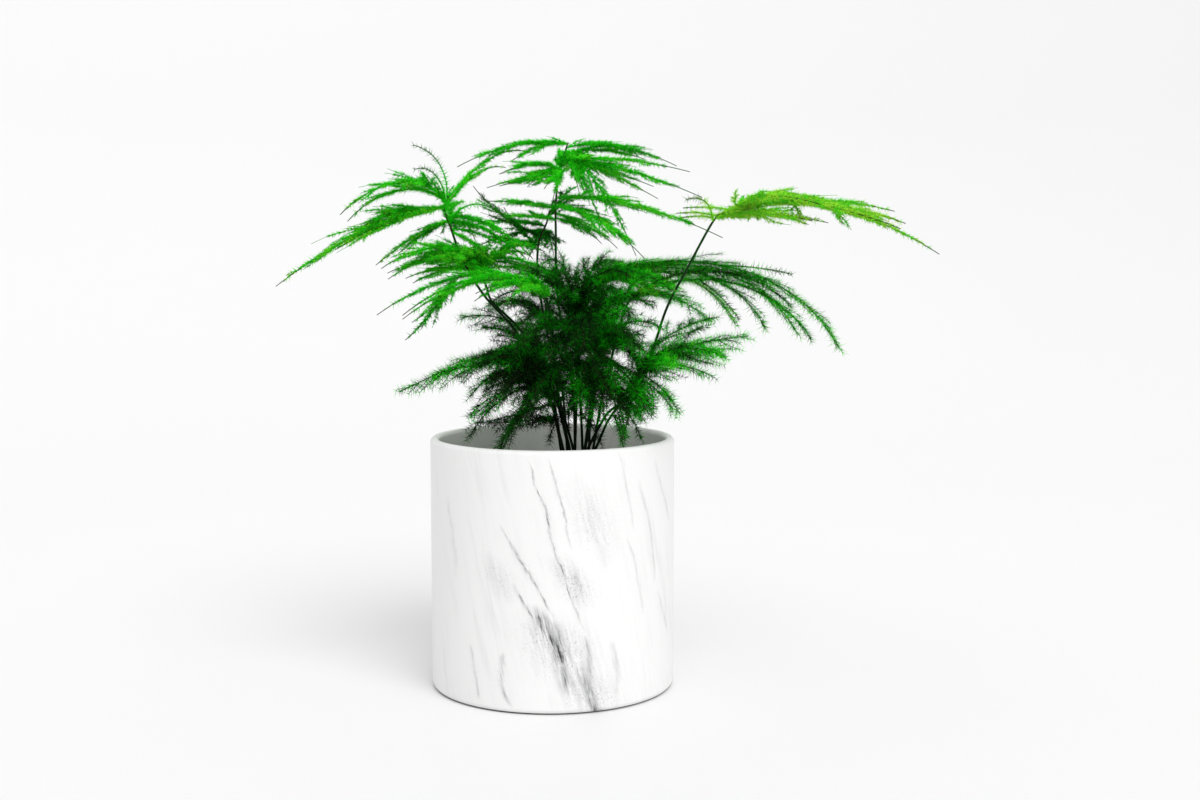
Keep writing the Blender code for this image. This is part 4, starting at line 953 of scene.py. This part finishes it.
def makeFloor():
    # height = farHeight * ((r - flat) / (far - flat))^2 beyond the flat middle
    r = np.concatenate([np.linspace(60.0, studio["flatRadius"], 12), np.linspace(studio["flatRadius"], studio["farRadius"], 20)[1:]])
    rise = np.clip((r - studio["flatRadius"]) / (studio["farRadius"] - studio["flatRadius"]), 0.0, 1.0) ** 2
    sides = 64
    t = np.linspace(0, 2 * np.pi, sides, endpoint=False)
    points = np.stack([r[:, None] * np.cos(t), r[:, None] * np.sin(t), (studio["farHeight"] * rise)[:, None] + 0 * t], axis=-1)
    points = np.vstack([points.reshape(-1, 3), [[0, 0, 0]]])
    k, j = np.meshgrid(np.arange(len(r) - 1), np.arange(sides), indexing="ij")
    a, b = k * sides + j, k * sides + (j + 1) % sides
    quads = np.stack([a, a + sides, b + sides, b], axis=-1).reshape(-1, 4)
    j = np.arange(sides)
    middle = np.stack([np.full(sides, len(points) - 1), j, (j + 1) % sides], axis=-1)
    material, tree, shader = newMaterial("paleFloor", 0.6)
    place = addNode(tree, "TexCoord").outputs["Object"]
    far = addNode(tree, "VectorMath", operation="LENGTH")
    feed(tree, far.inputs[0], place)
    uneven = maths(tree, "MULTIPLY_ADD", noise(tree, place, 3.0, 2), 0.1, -0.05)
    share = maths(tree, "MULTIPLY_ADD", far.outputs["Value"], 0.4, -0.2)
    colour = ramp(tree, maths(tree, "ADD", share, uneven), [(0.0, studio["floorNear"]), (1.0, studio["floorFar"])])
    tree.links.new(colour, shader.inputs["Base Color"])
    makePiece("floor", points, [quads, middle], material)


def makeLights():
    world = bpy.data.worlds.new("studioWorld")
    world.use_nodes = True
    background = world.node_tree.nodes["Background"]
    background.inputs["Color"].default_value = (1.0, 1.0, 1.0, 1.0)
    background.inputs["Strength"].default_value = studio["world"]
    bpy.context.scene.world = world
    light = bpy.data.lights.new("softSun", "SUN")
    light.energy, light.angle = studio["sunPower"], math.radians(studio["sunSoftness"])
    lamp = bpy.data.objects.new("softSun", light)
    right, above = (math.radians(angle) for angle in studio["sunFrom"])
    lamp.rotation_euler = (math.pi / 2 - above, 0.0, right)
    bpy.context.scene.collection.objects.link(lamp)


def makeCamera():
    camera = bpy.data.objects.new("camera", bpy.data.cameras.new("camera"))
    camera.data.lens = view["lens"]
    camera.data.sensor_width = 36.0
    camera.location = view["place"]
    camera.rotation_euler = (math.radians(90 - view["down"]), 0.0, 0.0)
    bpy.context.scene.collection.objects.link(camera)
    bpy.context.scene.camera = camera


makeCamera()
makeLights()
makeFloor()
makePot()
makeSoil()
makePlant()
bpy.context.scene.view_settings.view_transform = "Standard"
